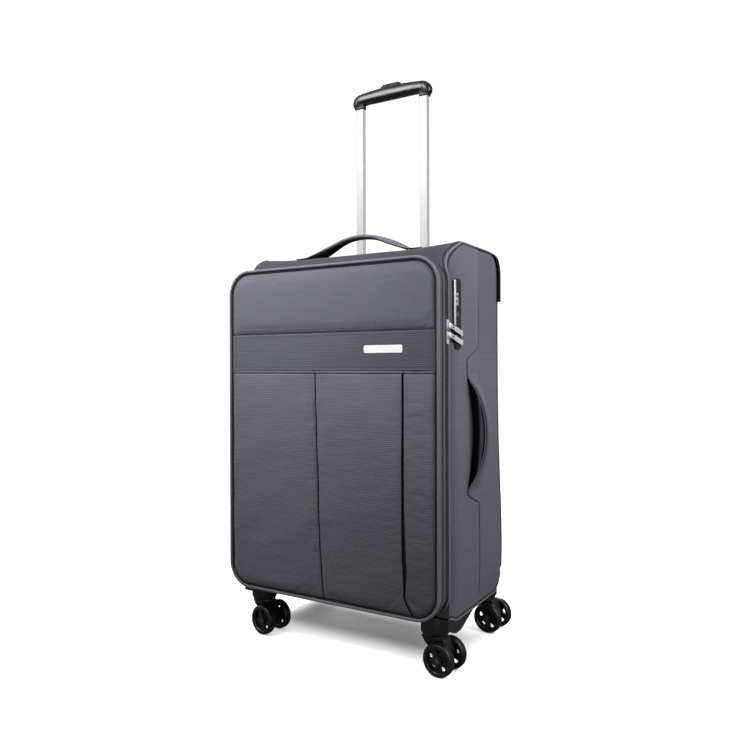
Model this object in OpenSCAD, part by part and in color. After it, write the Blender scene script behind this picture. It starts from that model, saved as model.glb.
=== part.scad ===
// Softside upright suitcase on four swivelling twin-wheel casters, with a
// telescopic trolley handle drawn out.
// Frame: +X to the right seen from the front, +Y to the back, +Z up,
// origin on the floor under the middle of the overall box. Millimetres.
// Inside the modules the case is drawn about its own centre plane, with y = 0
// at the front of the lid; place() then moves it to the origin.

/* [Case] */
// Half of the width of the case across the side panels
half_width = 201; // [199:0.5:203]
// Height of the top panel above the floor
case_top = 670; // [666:1:674]
// Height of the underside of the body above the floor
case_bot = 82; // [81:0.5:83]
// Back face of the body, measured from the front of the lid
case_back = 252; // [251:0.5:254]
// Thickness of the padded fabric walls
wall = 4; // [3.5:0.1:4]

/* [Lid] */
// Height of the top edge of the lid
lid_top = 636; // [634:0.5:638]
// Height of the bottom edge of the lid
lid_bot = 91; // [90.5:0.5:93]
// Corner radius of the lid
lid_r = 40; // [34:1:44]
// Top of the plain band across the front
band_top = 526; // [522:1:530]
// Bottom of the plain band across the front
band_bot = 465; // [461:1:469]

/* [Trolley] */
// Half of the distance between the two trolley tubes
tube_x = 68.3; // [67:0.1:70]
// Distance of the trolley tubes behind the front of the lid
tube_y = 225; // [224:0.5:226]
// Height of the lower end of the drawn-out grip
grip_z = 968; // [965:1:972]
// Travel of the trolley handle
travel = 320; // [300:5:320]

/* [Casters] */
// Wheel diameter
wheel_d = 51; // [49:0.5:52]
// Width of one wheel
wheel_w = 14; // [12:0.5:14]
// Distance between the middles of the two wheels of a pair
wheel_gap = 38; // [38:0.5:40]
// Distance of the wheel axle from the swivel axis
trail = 17; // [14:0.5:18]

/* [Lock] */
// Radius of the three combination dials
dial_r = 6.6; // [6:0.1:6.8]
// Height of the middle dial
dial_z = 575; // [574:0.5:576]

/* [Hidden] */
$fn = 64;

fabric = [0.40, 0.40, 0.44];
dark = [0.07, 0.07, 0.08];
bright_metal = [0.85, 0.85, 0.86];
tube_metal = [0.8, 0.8, 0.82];
pin_metal = [0.7, 0.7, 0.72];
screw_metal = [0.6, 0.6, 0.62];
slider_metal = [0.55, 0.55, 0.57];

// ---------- helpers ----------
// from the centre plane and lid front to the middle of the overall box
module place() translate([-16.185, -143.785, 0]) children();

// a flat outline in (x, z) drawn out between two depths
module extrude_y(span)
    translate([0, span[1], 0]) rotate([90, 0, 0])
        linear_extrude(height = span[1] - span[0], convexity = 8) children();

// a flat outline in (y, z) drawn out between two values of x
module extrude_x(span)
    translate([span[0], 0, 0]) rotate([90, 0, 90])
        linear_extrude(height = span[1] - span[0], convexity = 8) children();

// the same, with x measured outward from the right side panel
module side_layer(span)
    extrude_x([half_width + span[0], half_width + span[1]]) children();

module rounded_rect(low, high, radius) {
    size = high - low;
    translate([low[0] + radius, low[1]]) square([size[0] - 2 * radius, size[1]]);
    translate([low[0], low[1] + radius]) square([size[0], size[1] - 2 * radius]);
    for (x = [low[0] + radius, high[0] - radius], z = [low[1] + radius, high[1] - radius])
        translate([x, z]) circle(radius);
}

// rounded rectangle centred on x = 0
module wide_rect(half, z0, z1, radius) rounded_rect([-half, z0], [half, z1], radius);

// circular band of the carry handles
module arc_band(centre, radius, thickness) difference() {
    translate(centre) circle(radius, $fn = 128);
    translate(centre) circle(radius - thickness, $fn = 128);
}

module box(low, high) translate(low) cube(high - low);

// upright bar centred on the z axis, grown on all four sides
module bar(size, z0, z1, grow = 0)
    translate([-size[0] / 2 - grow, -size[1] / 2 - grow, z0])
        cube([size[0] + 2 * grow, size[1] + 2 * grow, z1 - z0]);

module rod_x(radius, length) rotate([0, 90, 0]) cylinder(r = radius, h = length);

// runs from its start towards -y
module rod_y(radius, length) rotate([90, 0, 0]) cylinder(r = radius, h = length);

// ---------- shared places ----------
// casters: x and y of the swivel axis, rest angle
casters = [
    [-169, 53, -7.5],     // 0: front left
    [171, 52, -5.7],      // 1: front right
    [-168.5, 262, -6.5],  // 2: rear left
    [168.5, 262, -6.5]];  // 3: rear right
// screws of one caster housing: distance from the centre plane, y
front_screws = [[130, 74], [130, 140], [182, 140]];
rear_screws = [[130, 186], [130, 206], [182, 186]];
screw_head_z = 74.9;
screw_head_h = 2.4;

function is_front(i) = i < 2;
function caster_side(i) = casters[i][0] < 0 ? -1 : 1;

module at_screws(i, side = 1)
    for (p = is_front(i) ? front_screws : rear_screws)
        translate([side * p[0], p[1], 0]) children();
module at_all_screws() for (i = [0:3]) at_screws(i, caster_side(i)) children();
module screw_hole() translate([0, 0, 70]) cylinder(r = 2.1, h = 30);

trolley_well = [180, 33];
// bar centred between the trolley tubes
module middle_bar(size, z0, z1, grow = 0) translate([0, tube_y, 0]) bar(size, z0, z1, grow);

lock_y = 63.2;          // middle of the dials, button and key cylinder
lock_half = 9;          // half of the width of the lock block
lock_block_z = [504, 602];

// ---------- body ----------
collar_span = [34, 72];
box_front = 60;
shoulder_front = 38;
front_radius = 62;
back_radius = 38;
side_radius = 12;
opening_margin = 24;
hinge_z = [165, 565];

// outer form of the body: rounded front collar, then a box with rounded shoulders
// front and back
module body_outer(grow = 0) {
    bottom = case_bot - grow;
    top = case_top + grow;
    extrude_y([collar_span[0] - grow, collar_span[1]])
        wide_rect(half_width + grow, lid_bot - 3 - grow, lid_top + 4 + grow, lid_r + grow);
    intersection() {
        extrude_y([box_front - grow, case_back + grow])
            wide_rect(half_width + grow, bottom, top, side_radius + grow);
        extrude_x([-half_width - grow, half_width + grow]) intersection() {
            rounded_rect([shoulder_front - grow, -200], [500, top], front_radius + grow);
            rounded_rect([-200, bottom], [case_back + grow, top], back_radius + grow);
        }
    }
}

// cross-shaped front opening, from the overlap of two boxes
module opening_part(inset_x, inset_z)
    box([-half_width + inset_x, 20, lid_bot + inset_z],
        [half_width - inset_x, 40, lid_top - inset_z]);

module body_shell() {
    gap = 0.5;
    color(fabric) difference() {
        body_outer(0);
        body_outer(-wall);
        opening_part(wall, opening_margin);
        opening_part(opening_margin, wall);
        middle_bar(trolley_well, 640, 700);
        // lock window
        box([half_width - 10, lock_y - lock_half - gap, lock_block_z[0] - gap],
            [half_width + 5, lock_y + lock_half + gap, lock_block_z[1] + gap]);
        at_all_screws() screw_hole();
    }
}

module base_pan() color(dark) difference() {
    box([-188, 64.2, case_bot + wall + 0.1], [188, 212.5, case_bot + wall + 3.1]);
    at_all_screws() screw_hole();
}

module hoop_outline(inset = 0)
    wide_rect(half_width - wall - 0.6 - inset, lid_bot + 4 + inset, lid_top - 4 - inset,
        34 - inset);
module frame_hoop() color(dark) extrude_y([38, 49]) difference() {
    hoop_outline();
    hoop_outline(3);
}

// plastic guard wrapped over one rear top corner, cut away on the side panel
module corner_guard() difference() {
    intersection() {
        body_outer(2.6);
        box([158, 160, 586], [300, 300, 800]);
    }
    body_outer(0.1);
    extrude_x([half_width - 1, 300])
        rounded_rect([-200, 300], [case_back - 5, case_top - 5], 33);
}
module corner_guards() color(dark) {
    corner_guard();
    mirror([1, 0, 0]) corner_guard();
}

module hinge_strip() color([0.2, 0.2, 0.22])
    box([-half_width, 30.9, hinge_z[0]], [-half_width + 3, 33.85, hinge_z[1]]);

module case_screws() color(screw_metal) at_all_screws() {
    translate([0, 0, screw_head_z]) cylinder(r = 4, h = screw_head_h);
    translate([0, 0, 77]) cylinder(r = 2, h = 12);
}

// ---------- lid ----------
panel_span = [-0.5, 3.9];
panel_inset = 2.1;
edge_thickness = 3;

module lid_outline(grow = 0)
    wide_rect(half_width + grow, lid_bot - grow, lid_top + grow, lid_r + grow);
module lid_frame(grow, thickness) difference() {
    lid_outline(grow);
    lid_outline(grow - thickness);
}
// ring round the edge of the lid between two depths
module edge_ring(span) extrude_y(span) lid_frame(0, edge_thickness);

module lid_ring() color(fabric) edge_ring([18, 28]);

// tray open to the back, with a raised bead round its front
module lid_shell() color(fabric) {
    difference() {
        extrude_y([4, 15]) lid_outline(0);
        extrude_y([6.5, 16]) lid_outline(-edge_thickness);
    }
    extrude_y([0.6, 5.2]) lid_frame(2, 4);
}

// the part of the lid front from height z upward
module front_panel(z, height) extrude_y(panel_span) intersection() {
    lid_outline(-panel_inset);
    translate([-300, z]) square([600, height]);
}
module upper_panel() color(fabric) front_panel(band_top, 200);
module lower_pocket() color(fabric) front_panel(0, band_bot);
module badge_band() color(fabric) extrude_y([0.8, panel_span[1]])
    translate([-half_width + panel_inset, band_bot + 0.1])
        square([2 * (half_width - panel_inset), band_top - band_bot - 0.2]);
module badge_plate() color(bright_metal)
    extrude_y([-0.8, 0.7]) rounded_rect([74, 493], [142, 505], 3);

// ---------- zips ----------
module hinge_gap()
    box([-300, 0, hinge_z[0] - 5], [-half_width + 20, 60, hinge_z[1] + 5]);
module main_zip(span) color(dark) difference() {
    edge_ring(span);
    hinge_gap();
}
module zip_lid_half() main_zip([28.05, 30.4]);
module zip_body_half() main_zip([31.6, 33.9]);
module expansion_zip_front() color(dark) edge_ring([15.05, 16.3]);
module expansion_zip_rear() color(dark) edge_ring([17.0, 17.95]);

zip_y = 31;                  // gap between the two halves of the main zip
pull_tilt = -14;
upper_pull_z = 533.6;        // heights of the two hinge pins
lower_pull_z = 519.2;
hinge_pin_r = 1;
lug_end = 4.6;
lug_thickness = 1.3;

module at_pull(z)
    translate([half_width + 4.6, zip_y, z]) rotate([pull_tilt, 0, 0]) children();

// slider on the right side wall: two plates joined by a web between the
// zip halves, with two lugs and a pin for the pull
module slider(z, length, pull_z) color(slider_metal) {
    for (x = [0.3, -6.2]) side_layer([x, x + 2])
        rounded_rect([zip_y - 4, z], [zip_y + 4, z + length], 2);
    box([half_width - 4.8, zip_y - 0.4, z + 3],
        [half_width + 1, zip_y + 0.4, z + length - 3]);
    at_pull(pull_z) {
        for (z = [-lug_end, lug_end - lug_thickness])
            box([-2.4, -1.7, z], [1.3, 1.7, z + lug_thickness]);
        translate([0, 0, -lug_end]) cylinder(r = hinge_pin_r, h = 2 * lug_end);
    }
}

// flat pull with an eye round the slider's pin; the tongue lies over the lock
module pull(pull_z) color(bright_metal) at_pull(pull_z) difference() {
    half_eye = 3.1;
    union() {
        translate([0, 0, -half_eye]) cylinder(r = 1.9, h = 2 * half_eye);
        box([0.95, 0, -half_eye], [2.35, 18, half_eye]);
        extrude_x([0.95, 2.55]) rounded_rect([16, -3.9], [47, 3.9], 1.5);
    }
    translate([0, 0, -5]) cylinder(r = hinge_pin_r + 0.05, h = 10);
    box([-5, 6, -1.4], [5, 15, 1.4]);
}
module zip_slider_upper() slider(526.5, 16, upper_pull_z);
module zip_slider_lower() slider(505.5, 19.5, lower_pull_z);
module zip_pull_upper() pull(upper_pull_z);
module zip_pull_lower() pull(lower_pull_z);

// slider on the top edge of the lid: plates above and below, web, and a flat pull
module expansion_slider() color([0.3, 0.3, 0.32]) {
    for (z = [0.3, -5.1])
        box([138, 13.3, lid_top + z], [150, 20.3, lid_top + z + 1.8]);
    box([141, 16.42, lid_top - 4], [147, 16.88, lid_top + 1]);
    box([118, 14.8, lid_top + 2.0], [144, 18.8, lid_top + 3.4]);
}

// ---------- lock ----------
lock_low = [53.5, 498.5];    // y and z of the corners of the face plate
lock_high = [76, 607];
lock_face = 4.0;             // height of the face plate above the side panel
dial_x = half_width + lock_face - dial_r + 1.2;
dial_pitch = 7.2;
dial_h = 6.0;
chamber_h = 23.2;
button_z = 509;
button_r = 4.55;
key_z = 552;
key_r = 4.0;

// x is measured outward from the right side panel
module on_lock(x, z) translate([half_width + x, lock_y, z]) children();
module on_dials(z) translate([dial_x, lock_y, z]) children();

module lock_body() color(dark) {
    // pin that carries the dials
    on_dials(dial_z - 12.5) cylinder(r = 1.5, h = 25);
    difference() {
        union() {
            side_layer([0.1, lock_face]) rounded_rect(lock_low, lock_high, 6);
            // raised rib along the front edge
            side_layer([0.1, 4.6])
                rounded_rect(lock_low + [-3.7, 36.5], [lock_low[0] + 0.6, lock_high[1] - 2.5], 1.2);
            box([half_width - 14, lock_y - lock_half, lock_block_z[0]],
                [half_width + 0.5, lock_y + lock_half, lock_block_z[1]]);
        }
        // dial chamber
        on_dials(dial_z - chamber_h / 2) cylinder(r = dial_r + 0.5, h = chamber_h);
        // seats of the release button and key cylinder
        on_lock(-8, button_z) rod_x(button_r + 0.1, 20);
        on_lock(-8, key_z) rod_x(key_r + 0.06, 20);
    }
}

// dial with a bore and ten grooves round its rim
module lock_dial(z) color([0.75, 0.75, 0.76]) difference() {
    on_dials(z - dial_h / 2) cylinder(r = dial_r, h = dial_h);
    on_dials(z - 4) cylinder(r = 1.6, h = 8);
    for (angle = [0:36:324])
        on_dials(z - 4) rotate([0, 0, angle]) translate([dial_r + 0.25, 0, 0])
            cylinder(r = 0.7, h = 8, $fn = 12);
}
module lock_button() color(dark) on_lock(-3, button_z) rod_x(button_r, 7.6);
module lock_key_cylinder() color(tube_metal) difference() {
    on_lock(-7, key_z) rod_x(key_r, 11.3);
    // key slot
    box([half_width + 1, lock_y - 0.6, key_z - 2.6], [half_width + 6, lock_y + 0.6, key_z + 2.6]);
}

// ---------- carry handles ----------
top_handle_y = 112.5;
top_handle_r = 143.6;
top_handle_z = case_top + 32.5 - top_handle_r;   // centre of the arc
// top webbing: x, half of its width
top_webbing = [
    [-120, 20], [-84, 20], [-72, 16.5], [-60, 13], [-46, 10.5], [-28, 9], [0, 8.5],
    [28, 9], [46, 10.5], [60, 13], [72, 16.5], [84, 20], [120, 20]];
side_handle_z = 364.5;
side_handle_r = 150.5;
side_handle_centre = [half_width + 35 - side_handle_r, side_handle_z];
// side webbing: y, height from the middle of the handle
side_webbing = [
    [141, -110], [141, -88], [134, -76], [128, -60], [125.5, -42], [125, 0],
    [125.5, 42], [128, 60], [134, 76], [141, 88], [141, 110],
    [104, 110], [104, 88], [107.5, 76], [110.5, 60], [111.5, 42], [111.5, 0],
    [111.5, -42], [110.5, -60], [109.5, -76], [114, -88], [114, -110]];
// sewn patches under the ends of the side handle: y, z
upper_patch = [[103.7, 450], [101.2, 480], [104, 483.5], [147, 500.5], [150.8, 499], [150.8, 450]];
lower_patch = [[112, 279], [150.8, 281], [150.8, 249], [148.5, 248.5], [113, 262], [110.9, 265]];
patch_span = [0.2, 2.6];     // above the panel

module top_handle() color(fabric) {
    // webbing: wide and flat at the ends, drawn in narrow over the middle
    intersection() {
        extrude_y([90, 136]) intersection() {
            arc_band([0, top_handle_z], top_handle_r, 5.5);
            translate([-120, case_top + patch_span[0]]) square([240, 100]);
        }
        // the front edge from left to right, then the back edge from right to left
        translate([0, top_handle_y, case_top - 5]) linear_extrude(height = 60)
            polygon(concat([for (p = top_webbing) [p[0], -p[1]]],
                [for (p = top_webbing) [-p[0], p[1]]]));
    }
    // flat patches at both ends
    for (x = [-126, 84])
        box([x, top_handle_y - 20, case_top + patch_span[0]],
            [x + 42, top_handle_y + 20, case_top + patch_span[1]]);
}

module side_handle() color(fabric) {
    intersection() {
        extrude_y([95, 145]) intersection() {
            arc_band(side_handle_centre, side_handle_r, 5);
            translate([half_width + patch_span[0], 200]) square([60, 330]);
        }
        side_layer([-5, 60]) translate([0, side_handle_z]) polygon(side_webbing);
    }
    side_layer(patch_span) polygon(upper_patch);
    side_layer(patch_span) polygon(lower_patch);
}

// core under the middle of the side handle
module side_handle_grip() color(dark) extrude_y([112.5, 124]) difference() {
    inner_r = 350;
    intersection() {
        translate(side_handle_centre) circle(side_handle_r - 5.1, $fn = 128);
        translate([half_width + 3.0, side_handle_z - 50]) square([60, 100]);
    }
    translate([half_width + 22 - inner_r, side_handle_z]) circle(inner_r, $fn = 256);
}

// ---------- trolley ----------
inner_tube = [16, 10];
outer_tube = [22, 15];
outer_foot = 98;
inner_foot = 462;
bezel_floor = 643;
latch_z = 450;               // latch pins with the handle drawn out
latch_r = 3;
button_cap = [39.8, 13.8];
button_bar_z = 988;
rod_foot = 458;

module at_tubes() for (side = [-1, 1]) translate([side * tube_x, tube_y, 0]) children();

module trolley_outer_tubes() color(tube_metal) at_tubes() difference() {
    bar(outer_tube, outer_foot, bezel_floor - 0.1);
    bar(outer_tube, 90, 690, -1.2);
    // latch holes of the two stops
    for (z = [latch_z - travel, latch_z]) translate([0, 0, z]) rod_x(latch_r + 0.4, 20);
}
module trolley_inner_tubes() color([0.85, 0.85, 0.87]) at_tubes() difference() {
    bar(inner_tube, inner_foot, grip_z + 14);
    bar(inner_tube, 400, 1100, -1);
}
module trolley_end_blocks() color(dark) at_tubes() difference() {
    union() {
        bar([19, 12], 430, inner_foot - 0.1);
        bar([13.8, 7.8], inner_foot - 1, 479);
    }
    translate([-7.5, 0, latch_z]) rod_x(latch_r + 0.05, 20);
    translate([0, 0, 447]) cylinder(r = 2.6, h = 50);
}
module trolley_latch_pins() color(pin_metal) at_tubes()
    translate([-5, 0, latch_z]) rod_x(latch_r, 14.6);
module trolley_push_rods() color(pin_metal) at_tubes()
    translate([0, 0, rod_foot]) cylinder(r = 2.2, h = button_bar_z - 0.1 - rod_foot);

module trolley_grip() color(dark) difference() {
    half_bar = 70;
    union() {
        // arched bar
        hull() {
            for (x = [-half_bar : half_bar / 2 : half_bar])
                translate([x, tube_y, 985.5 + 3 * (1 - pow(x / half_bar, 2))])
                    rotate([0, 90, 0]) cylinder(r = 12, h = 2, center = true, $fn = 32);
            for (side = [-1, 1]) translate([side * 76, tube_y, 985]) sphere(r = 9.8, $fn = 24);
        }
        // necks round the tubes
        for (side = [-1, 1]) hull() {
            translate([side * (tube_x + 0.6), tube_y, 0]) bar([20.4, 15.2], grip_z, grip_z + 2);
            translate([side * 71, tube_y, 984]) rotate([90, 0, 0])
                cylinder(r = 12.6, h = 19, center = true, $fn = 32);
        }
    }
    // tube sockets and rod cavities
    at_tubes() bar(inner_tube, grip_z - 5, grip_z + 14.1, 0.05);
    at_tubes() translate([0, 0, grip_z]) cylinder(r = 3, h = 24);
    // cavity for the cross bar of the button, and the button well
    middle_bar([148, 8], 984, 992.5);
    middle_bar(button_cap, 990, 1010, 0.3);
    // screw recesses under the bar
    for (side = [-1, 1]) translate([side * 44, tube_y, 970]) cylinder(r = 3.4, h = 8);
}

// cap, cross bar over the push rods, and the post between them
module trolley_button() color([0.12, 0.12, 0.13]) {
    middle_bar(button_cap, 994.6, 1004);
    middle_bar([144, 7.2], button_bar_z, 992.2);
    middle_bar([12, 6], 992, 995);
}

// flange on the body with a cup set into the trolley well
module trolley_bezel() color(dark) difference() {
    union() {
        difference() {
            middle_bar([190, 39], case_top - 18, case_top + 4);
            body_outer(0.15);
        }
        middle_bar(trolley_well, bezel_floor, case_top + 1, -0.5);
    }
    middle_bar([174, 28], bezel_floor + 3, 700);
    at_tubes() bar(inner_tube, 600, 700, 0.2);
}

// foot of the outer tubes, inside the body
module trolley_bracket() color(dark) difference() {
    intersection() {
        middle_bar([168, 24], 86.3, 108);
        body_outer(-wall - 0.15);
    }
    at_tubes() bar(outer_tube, outer_foot - 0.1, outer_foot + 29.9, 0.1);
    middle_bar([100, 50], 95, 120);
}

// ---------- casters ----------
axle_z = wheel_d / 2;
axle_r = 3.0;
pin_r = 4;
socket_r = 22.5;
mount_z = 77.4;              // underside of the screwed flanges
mount_top = 86.5;
// front housing: y, z of the part below the side panel and of the screwed flange
front_flank = [
    [36, mount_top], [150, mount_top], [150, 80.5], [138, 77], [88, 59.2],
    [80, 57.8], [68, 57.8], [60, 59.5], [36, 70]];
front_flange = [[40, mount_top], [150, mount_top], [150, 80.5], [144, mount_z], [40, mount_z]];
// fork between the wheels: x, z
fork_outline = [
    [-19, 54], [19, 54], [trail + 11, axle_z + 12], [trail + 10, axle_z],
    [trail - 10.5, axle_z - 2], [-4, 36], [-14, 46]];
// window between two spokes: distance from the axle, offset across
wheel_window = [
    [10.2, -1.6], [10.2, 1.6], [13.5, 3.8], [17.2, 5.0], [17.9, 3.0], [18.1, 0],
    [17.9, -3.0], [17.2, -5.0], [13.5, -3.8]];

module at_swivel(i) translate([casters[i][0], casters[i][1], 0]) children();
module at_caster(i) at_swivel(i) rotate([0, 0, casters[i][2]]) children();

// drawn on the right and mirrored for the left
module caster_housing(i) {
    side = caster_side(i);
    x = side * casters[i][0];
    y = casters[i][1];
    color(dark) mirror([side < 0 ? 1 : 0, 0, 0]) difference() {
        union() {
            // socket of the swivel, narrowing at its foot
            translate([x, y, 62]) cylinder(r = socket_r, h = is_front(i) ? 25 : 34);
            translate([x, y, 58]) cylinder(r1 = 20, r2 = socket_r, h = 4.01);
            if (is_front(i)) {
                extrude_x([x + 12, half_width - 0.5]) polygon(front_flank);
                extrude_x([122, x + 13]) polygon(front_flange);
            } else {
                // heel behind the body
                hull() {
                    translate([x, y, 64]) cylinder(r = socket_r, h = 20, $fn = 32);
                    box([126, 236, 84], [half_width - 0.5, 240, 106]);
                    box([138, case_back, 90], [190, case_back + 12, 128]);
                    box([140, 215, mount_z], [half_width - 1, 217, 80]);
                }
                box([122, 180, mount_z], [half_width - 1, 236, mount_top]);
            }
        }
        body_outer(0.1);
        // swivel pin seat
        translate([x, y, 50]) cylinder(r = pin_r, h = 33.2);
        // trim in front of the body
        if (is_front(i)) box([0, 0, 87.5], [300, 34.3, 140]);
        // screw holes and head recesses
        at_screws(i) screw_hole();
        at_screws(i) translate([0, 0, 40])
            cylinder(r = 4.2, h = screw_head_z + screw_head_h - 40);
    }
}

module fork(i) color([0.09, 0.09, 0.10]) at_caster(i) difference() {
    union() {
        translate([0, 0, 51.6]) cylinder(r = 19.5, h = 6.0);
        translate([0, 0, 57.6]) cylinder(r = 7, h = 0.3);
        // body between the wheels
        extrude_y([-10.8, 10.8]) {
            polygon(fork_outline);
            translate([trail, axle_z]) circle(11);
        }
    }
    translate([trail, 20, axle_z]) rod_y(axle_r, 40);
    // swivel pin bore and the wider bore for its head
    translate([0, 0, 30]) cylinder(r = pin_r + 0.05, h = 40);
    translate([0, 0, 30]) cylinder(r = 6.6, h = 22.5);
    // cross hole
    translate([-4, 20, 46.5]) rod_y(1.8, 40);
}

module axle(i) color(pin_metal) at_caster(i) {
    length = wheel_gap + wheel_w - 4;
    translate([trail, length / 2, axle_z]) rod_y(axle_r, length);
}

// tyre section with rounded shoulders: distance from the axle, offset along it
module tyre_section() {
    radius = wheel_d / 2;
    inner_r = 19.0;
    shoulder = 4;
    translate([inner_r, -wheel_w / 2]) square([radius - inner_r - shoulder, wheel_w]);
    translate([radius - 4.5, -wheel_w / 2 + shoulder]) square([4.5, wheel_w - 2 * shoulder]);
    for (side = [-1, 1])
        translate([radius - shoulder, side * (wheel_w / 2 - shoulder)])
            circle(shoulder, $fn = 48);
}

// side is +1 for the rear disc of the pair and -1 for the front disc
module wheel(i, side) color([0.08, 0.08, 0.09]) at_caster(i)
    translate([trail, side * wheel_gap / 2, axle_z]) rotate([90, 0, 0]) difference() {
        union() {
            rotate_extrude($fn = 96) tyre_section();
            // web and hub
            translate([0, 0, -2.2]) cylinder(r = 19.5, h = 4.4);
            translate([0, 0, -wheel_w / 2 + 0.6]) cylinder(r = 8.2, h = wheel_w - 1.2);
        }
        translate([0, 0, -20]) cylinder(r = axle_r + 0.05, h = 40);
        // five windows between the spokes
        for (angle = [18:72:306]) rotate([0, 0, angle]) translate([0, 0, -5])
            linear_extrude(height = 10) polygon(wheel_window);
    }

module swivel_pins() color(screw_metal) for (i = [0:3]) at_swivel(i) {
    translate([0, 0, 51]) cylinder(r = pin_r, h = 32);
    translate([0, 0, 50]) cylinder(r = 6.2, h = 2.4);
}

place() body_shell();
place() base_pan();
place() frame_hoop();
place() corner_guards();
place() hinge_strip();
place() case_screws();
place() lid_ring();
place() lid_shell();
place() upper_panel();
place() badge_band();
place() badge_plate();
place() lower_pocket();
place() zip_body_half();
place() zip_lid_half();
place() expansion_zip_front();
place() expansion_zip_rear();
place() zip_slider_upper();
place() zip_slider_lower();
place() zip_pull_upper();
place() zip_pull_lower();
place() expansion_slider();
place() lock_body();
place() lock_dial(dial_z + dial_pitch);  // lock_dial_upper
place() lock_dial(dial_z);  // lock_dial_middle
place() lock_dial(dial_z - dial_pitch);  // lock_dial_lower
place() lock_button();
place() lock_key_cylinder();
place() top_handle();
place() side_handle();
place() side_handle_grip();
place() trolley_outer_tubes();
place() trolley_inner_tubes();
place() trolley_grip();
place() trolley_button();
place() trolley_bezel();
place() trolley_bracket();
place() trolley_push_rods();
place() trolley_latch_pins();
place() trolley_end_blocks();
place() caster_housing(0);  // caster_housing_fl
place() caster_housing(1);  // caster_housing_fr
place() caster_housing(2);  // caster_housing_rl
place() caster_housing(3);  // caster_housing_rr
place() fork(0);  // caster_fork_fl
place() fork(1);  // caster_fork_fr
place() fork(2);  // caster_fork_rl
place() fork(3);  // caster_fork_rr
place() axle(0);  // axle_fl
place() axle(1);  // axle_fr
place() axle(2);  // axle_rl
place() axle(3);  // axle_rr
place() wheel(0, -1);  // wheel_fl_outer
place() wheel(0, 1);  // wheel_fl_inner
place() wheel(1, -1);  // wheel_fr_outer
place() wheel(1, 1);  // wheel_fr_inner
place() wheel(2, -1);  // wheel_rl_outer
place() wheel(2, 1);  // wheel_rl_inner
place() wheel(3, -1);  // wheel_rr_outer
place() wheel(3, 1);  // wheel_rr_inner
place() swivel_pins();
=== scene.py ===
# Soft-sided wheeled suitcase with a front lid, carry handles and a trolley grip, standing upright.
# It is modelled in case millimetres: x across from its middle, with the side handle on +X,
# y from the lid front (0) to the back (252), z up from the floor. The front faces -Y.
# to_row() moves case millimetres to the row frame in metres.
import math

import bmesh
import bpy
import numpy as np
from mathutils import Matrix, Vector


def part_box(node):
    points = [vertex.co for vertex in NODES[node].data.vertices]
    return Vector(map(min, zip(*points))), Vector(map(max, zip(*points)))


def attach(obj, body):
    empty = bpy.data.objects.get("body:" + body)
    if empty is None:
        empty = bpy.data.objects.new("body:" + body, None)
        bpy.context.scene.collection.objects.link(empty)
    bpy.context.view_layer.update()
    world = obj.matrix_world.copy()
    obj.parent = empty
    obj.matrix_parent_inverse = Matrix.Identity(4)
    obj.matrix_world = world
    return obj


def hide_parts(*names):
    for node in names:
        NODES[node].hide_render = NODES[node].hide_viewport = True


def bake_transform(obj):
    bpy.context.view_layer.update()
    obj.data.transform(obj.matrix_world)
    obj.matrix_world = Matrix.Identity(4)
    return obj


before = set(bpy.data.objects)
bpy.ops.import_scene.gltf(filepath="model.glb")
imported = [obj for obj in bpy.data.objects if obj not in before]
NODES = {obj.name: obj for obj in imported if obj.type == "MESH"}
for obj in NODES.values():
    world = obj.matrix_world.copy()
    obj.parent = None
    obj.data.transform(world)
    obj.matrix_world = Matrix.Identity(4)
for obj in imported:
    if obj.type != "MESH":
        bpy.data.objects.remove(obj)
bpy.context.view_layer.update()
scene = bpy.context.scene
MM = 0.001

# origin of the case millimetres in the row frame: case middle, just in front of the lid
lid_lo, lid_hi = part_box("lid_shell")
OX, OY = (lid_lo.x + lid_hi.x) / 2, lid_lo.y - 0.0006

LID_HALF, LID_BOTTOM, LID_TOP, LID_RADIUS = 201.0, 91.0, 636.0, 40.0
BAND_BOTTOM, BAND_TOP = 465.0, 526.0      # band across the front

BODY_HALF = 200.9
BODY_FRONT, BODY_BACK = 34, 252
BACK_TOP_RADIUS, BACK_BOTTOM_RADIUS = 38.0, 30.0
TOP_TURN = 214                            # y where the top starts to turn down to the back
BOTTOM_TURN = 222                         # y where the bottom starts to turn up to the back
TOP_CENTRE, BOTTOM_CENTRE = 632, 112      # z of the centres of those two turns
CROWN = 2.2                               # how far a side panel swells
SEAM_Y = 152                              # upright groove in the side panels

# front panels end just inside the piping
PANEL_INSET = 5.0
PANEL_HALF, PANEL_RADIUS = LID_HALF - PANEL_INSET, LID_RADIUS - PANEL_INSET
PANEL_BOTTOM, PANEL_TOP = LID_BOTTOM + PANEL_INSET, LID_TOP - PANEL_INSET
PANEL_REAR_Y = 3.95

HINGE_Z = (160, 570)                      # stretch of the left side left free for the hinge
SIDES = ((1, "right"), (-1, "left"))


def to_row(points):
    """case millimetres to the row frame in metres"""
    moved = np.array(points, float) * MM
    moved[..., 0] += OX
    moved[..., 1] += OY
    return moved


# ------------------------------------------------------------------ numbers and paths
def noise(points, seed, scale):
    """smooth seeded noise in three octaves; points are (..., 3), scale is the longest wave"""
    rng = np.random.RandomState(seed)
    points = np.asarray(points, float)
    out = np.zeros(points.shape[:-1])
    strength, total = 1.0, 0.0
    for _ in range(3):
        for _ in range(5):
            direction = rng.normal(size=3)
            direction /= np.linalg.norm(direction)
            frequency = 2 * math.pi / scale * rng.uniform(0.7, 1.3)
            out += strength * np.sin(points @ direction * frequency + rng.uniform(0, 6.28))
        total += strength * 5 ** 0.5
        strength *= 0.5
        scale *= 0.5
    return out / total


def flat_noise(X, Z, seed, scale):
    """noise over a grid of x and z"""
    return noise(np.stack([X, 0 * X, Z], -1), seed, scale)


def smooth(start, end, x):
    t = np.clip((np.asarray(x, float) - start) / (end - start), 0, 1)
    return t * t * (3 - 2 * t)


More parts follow.
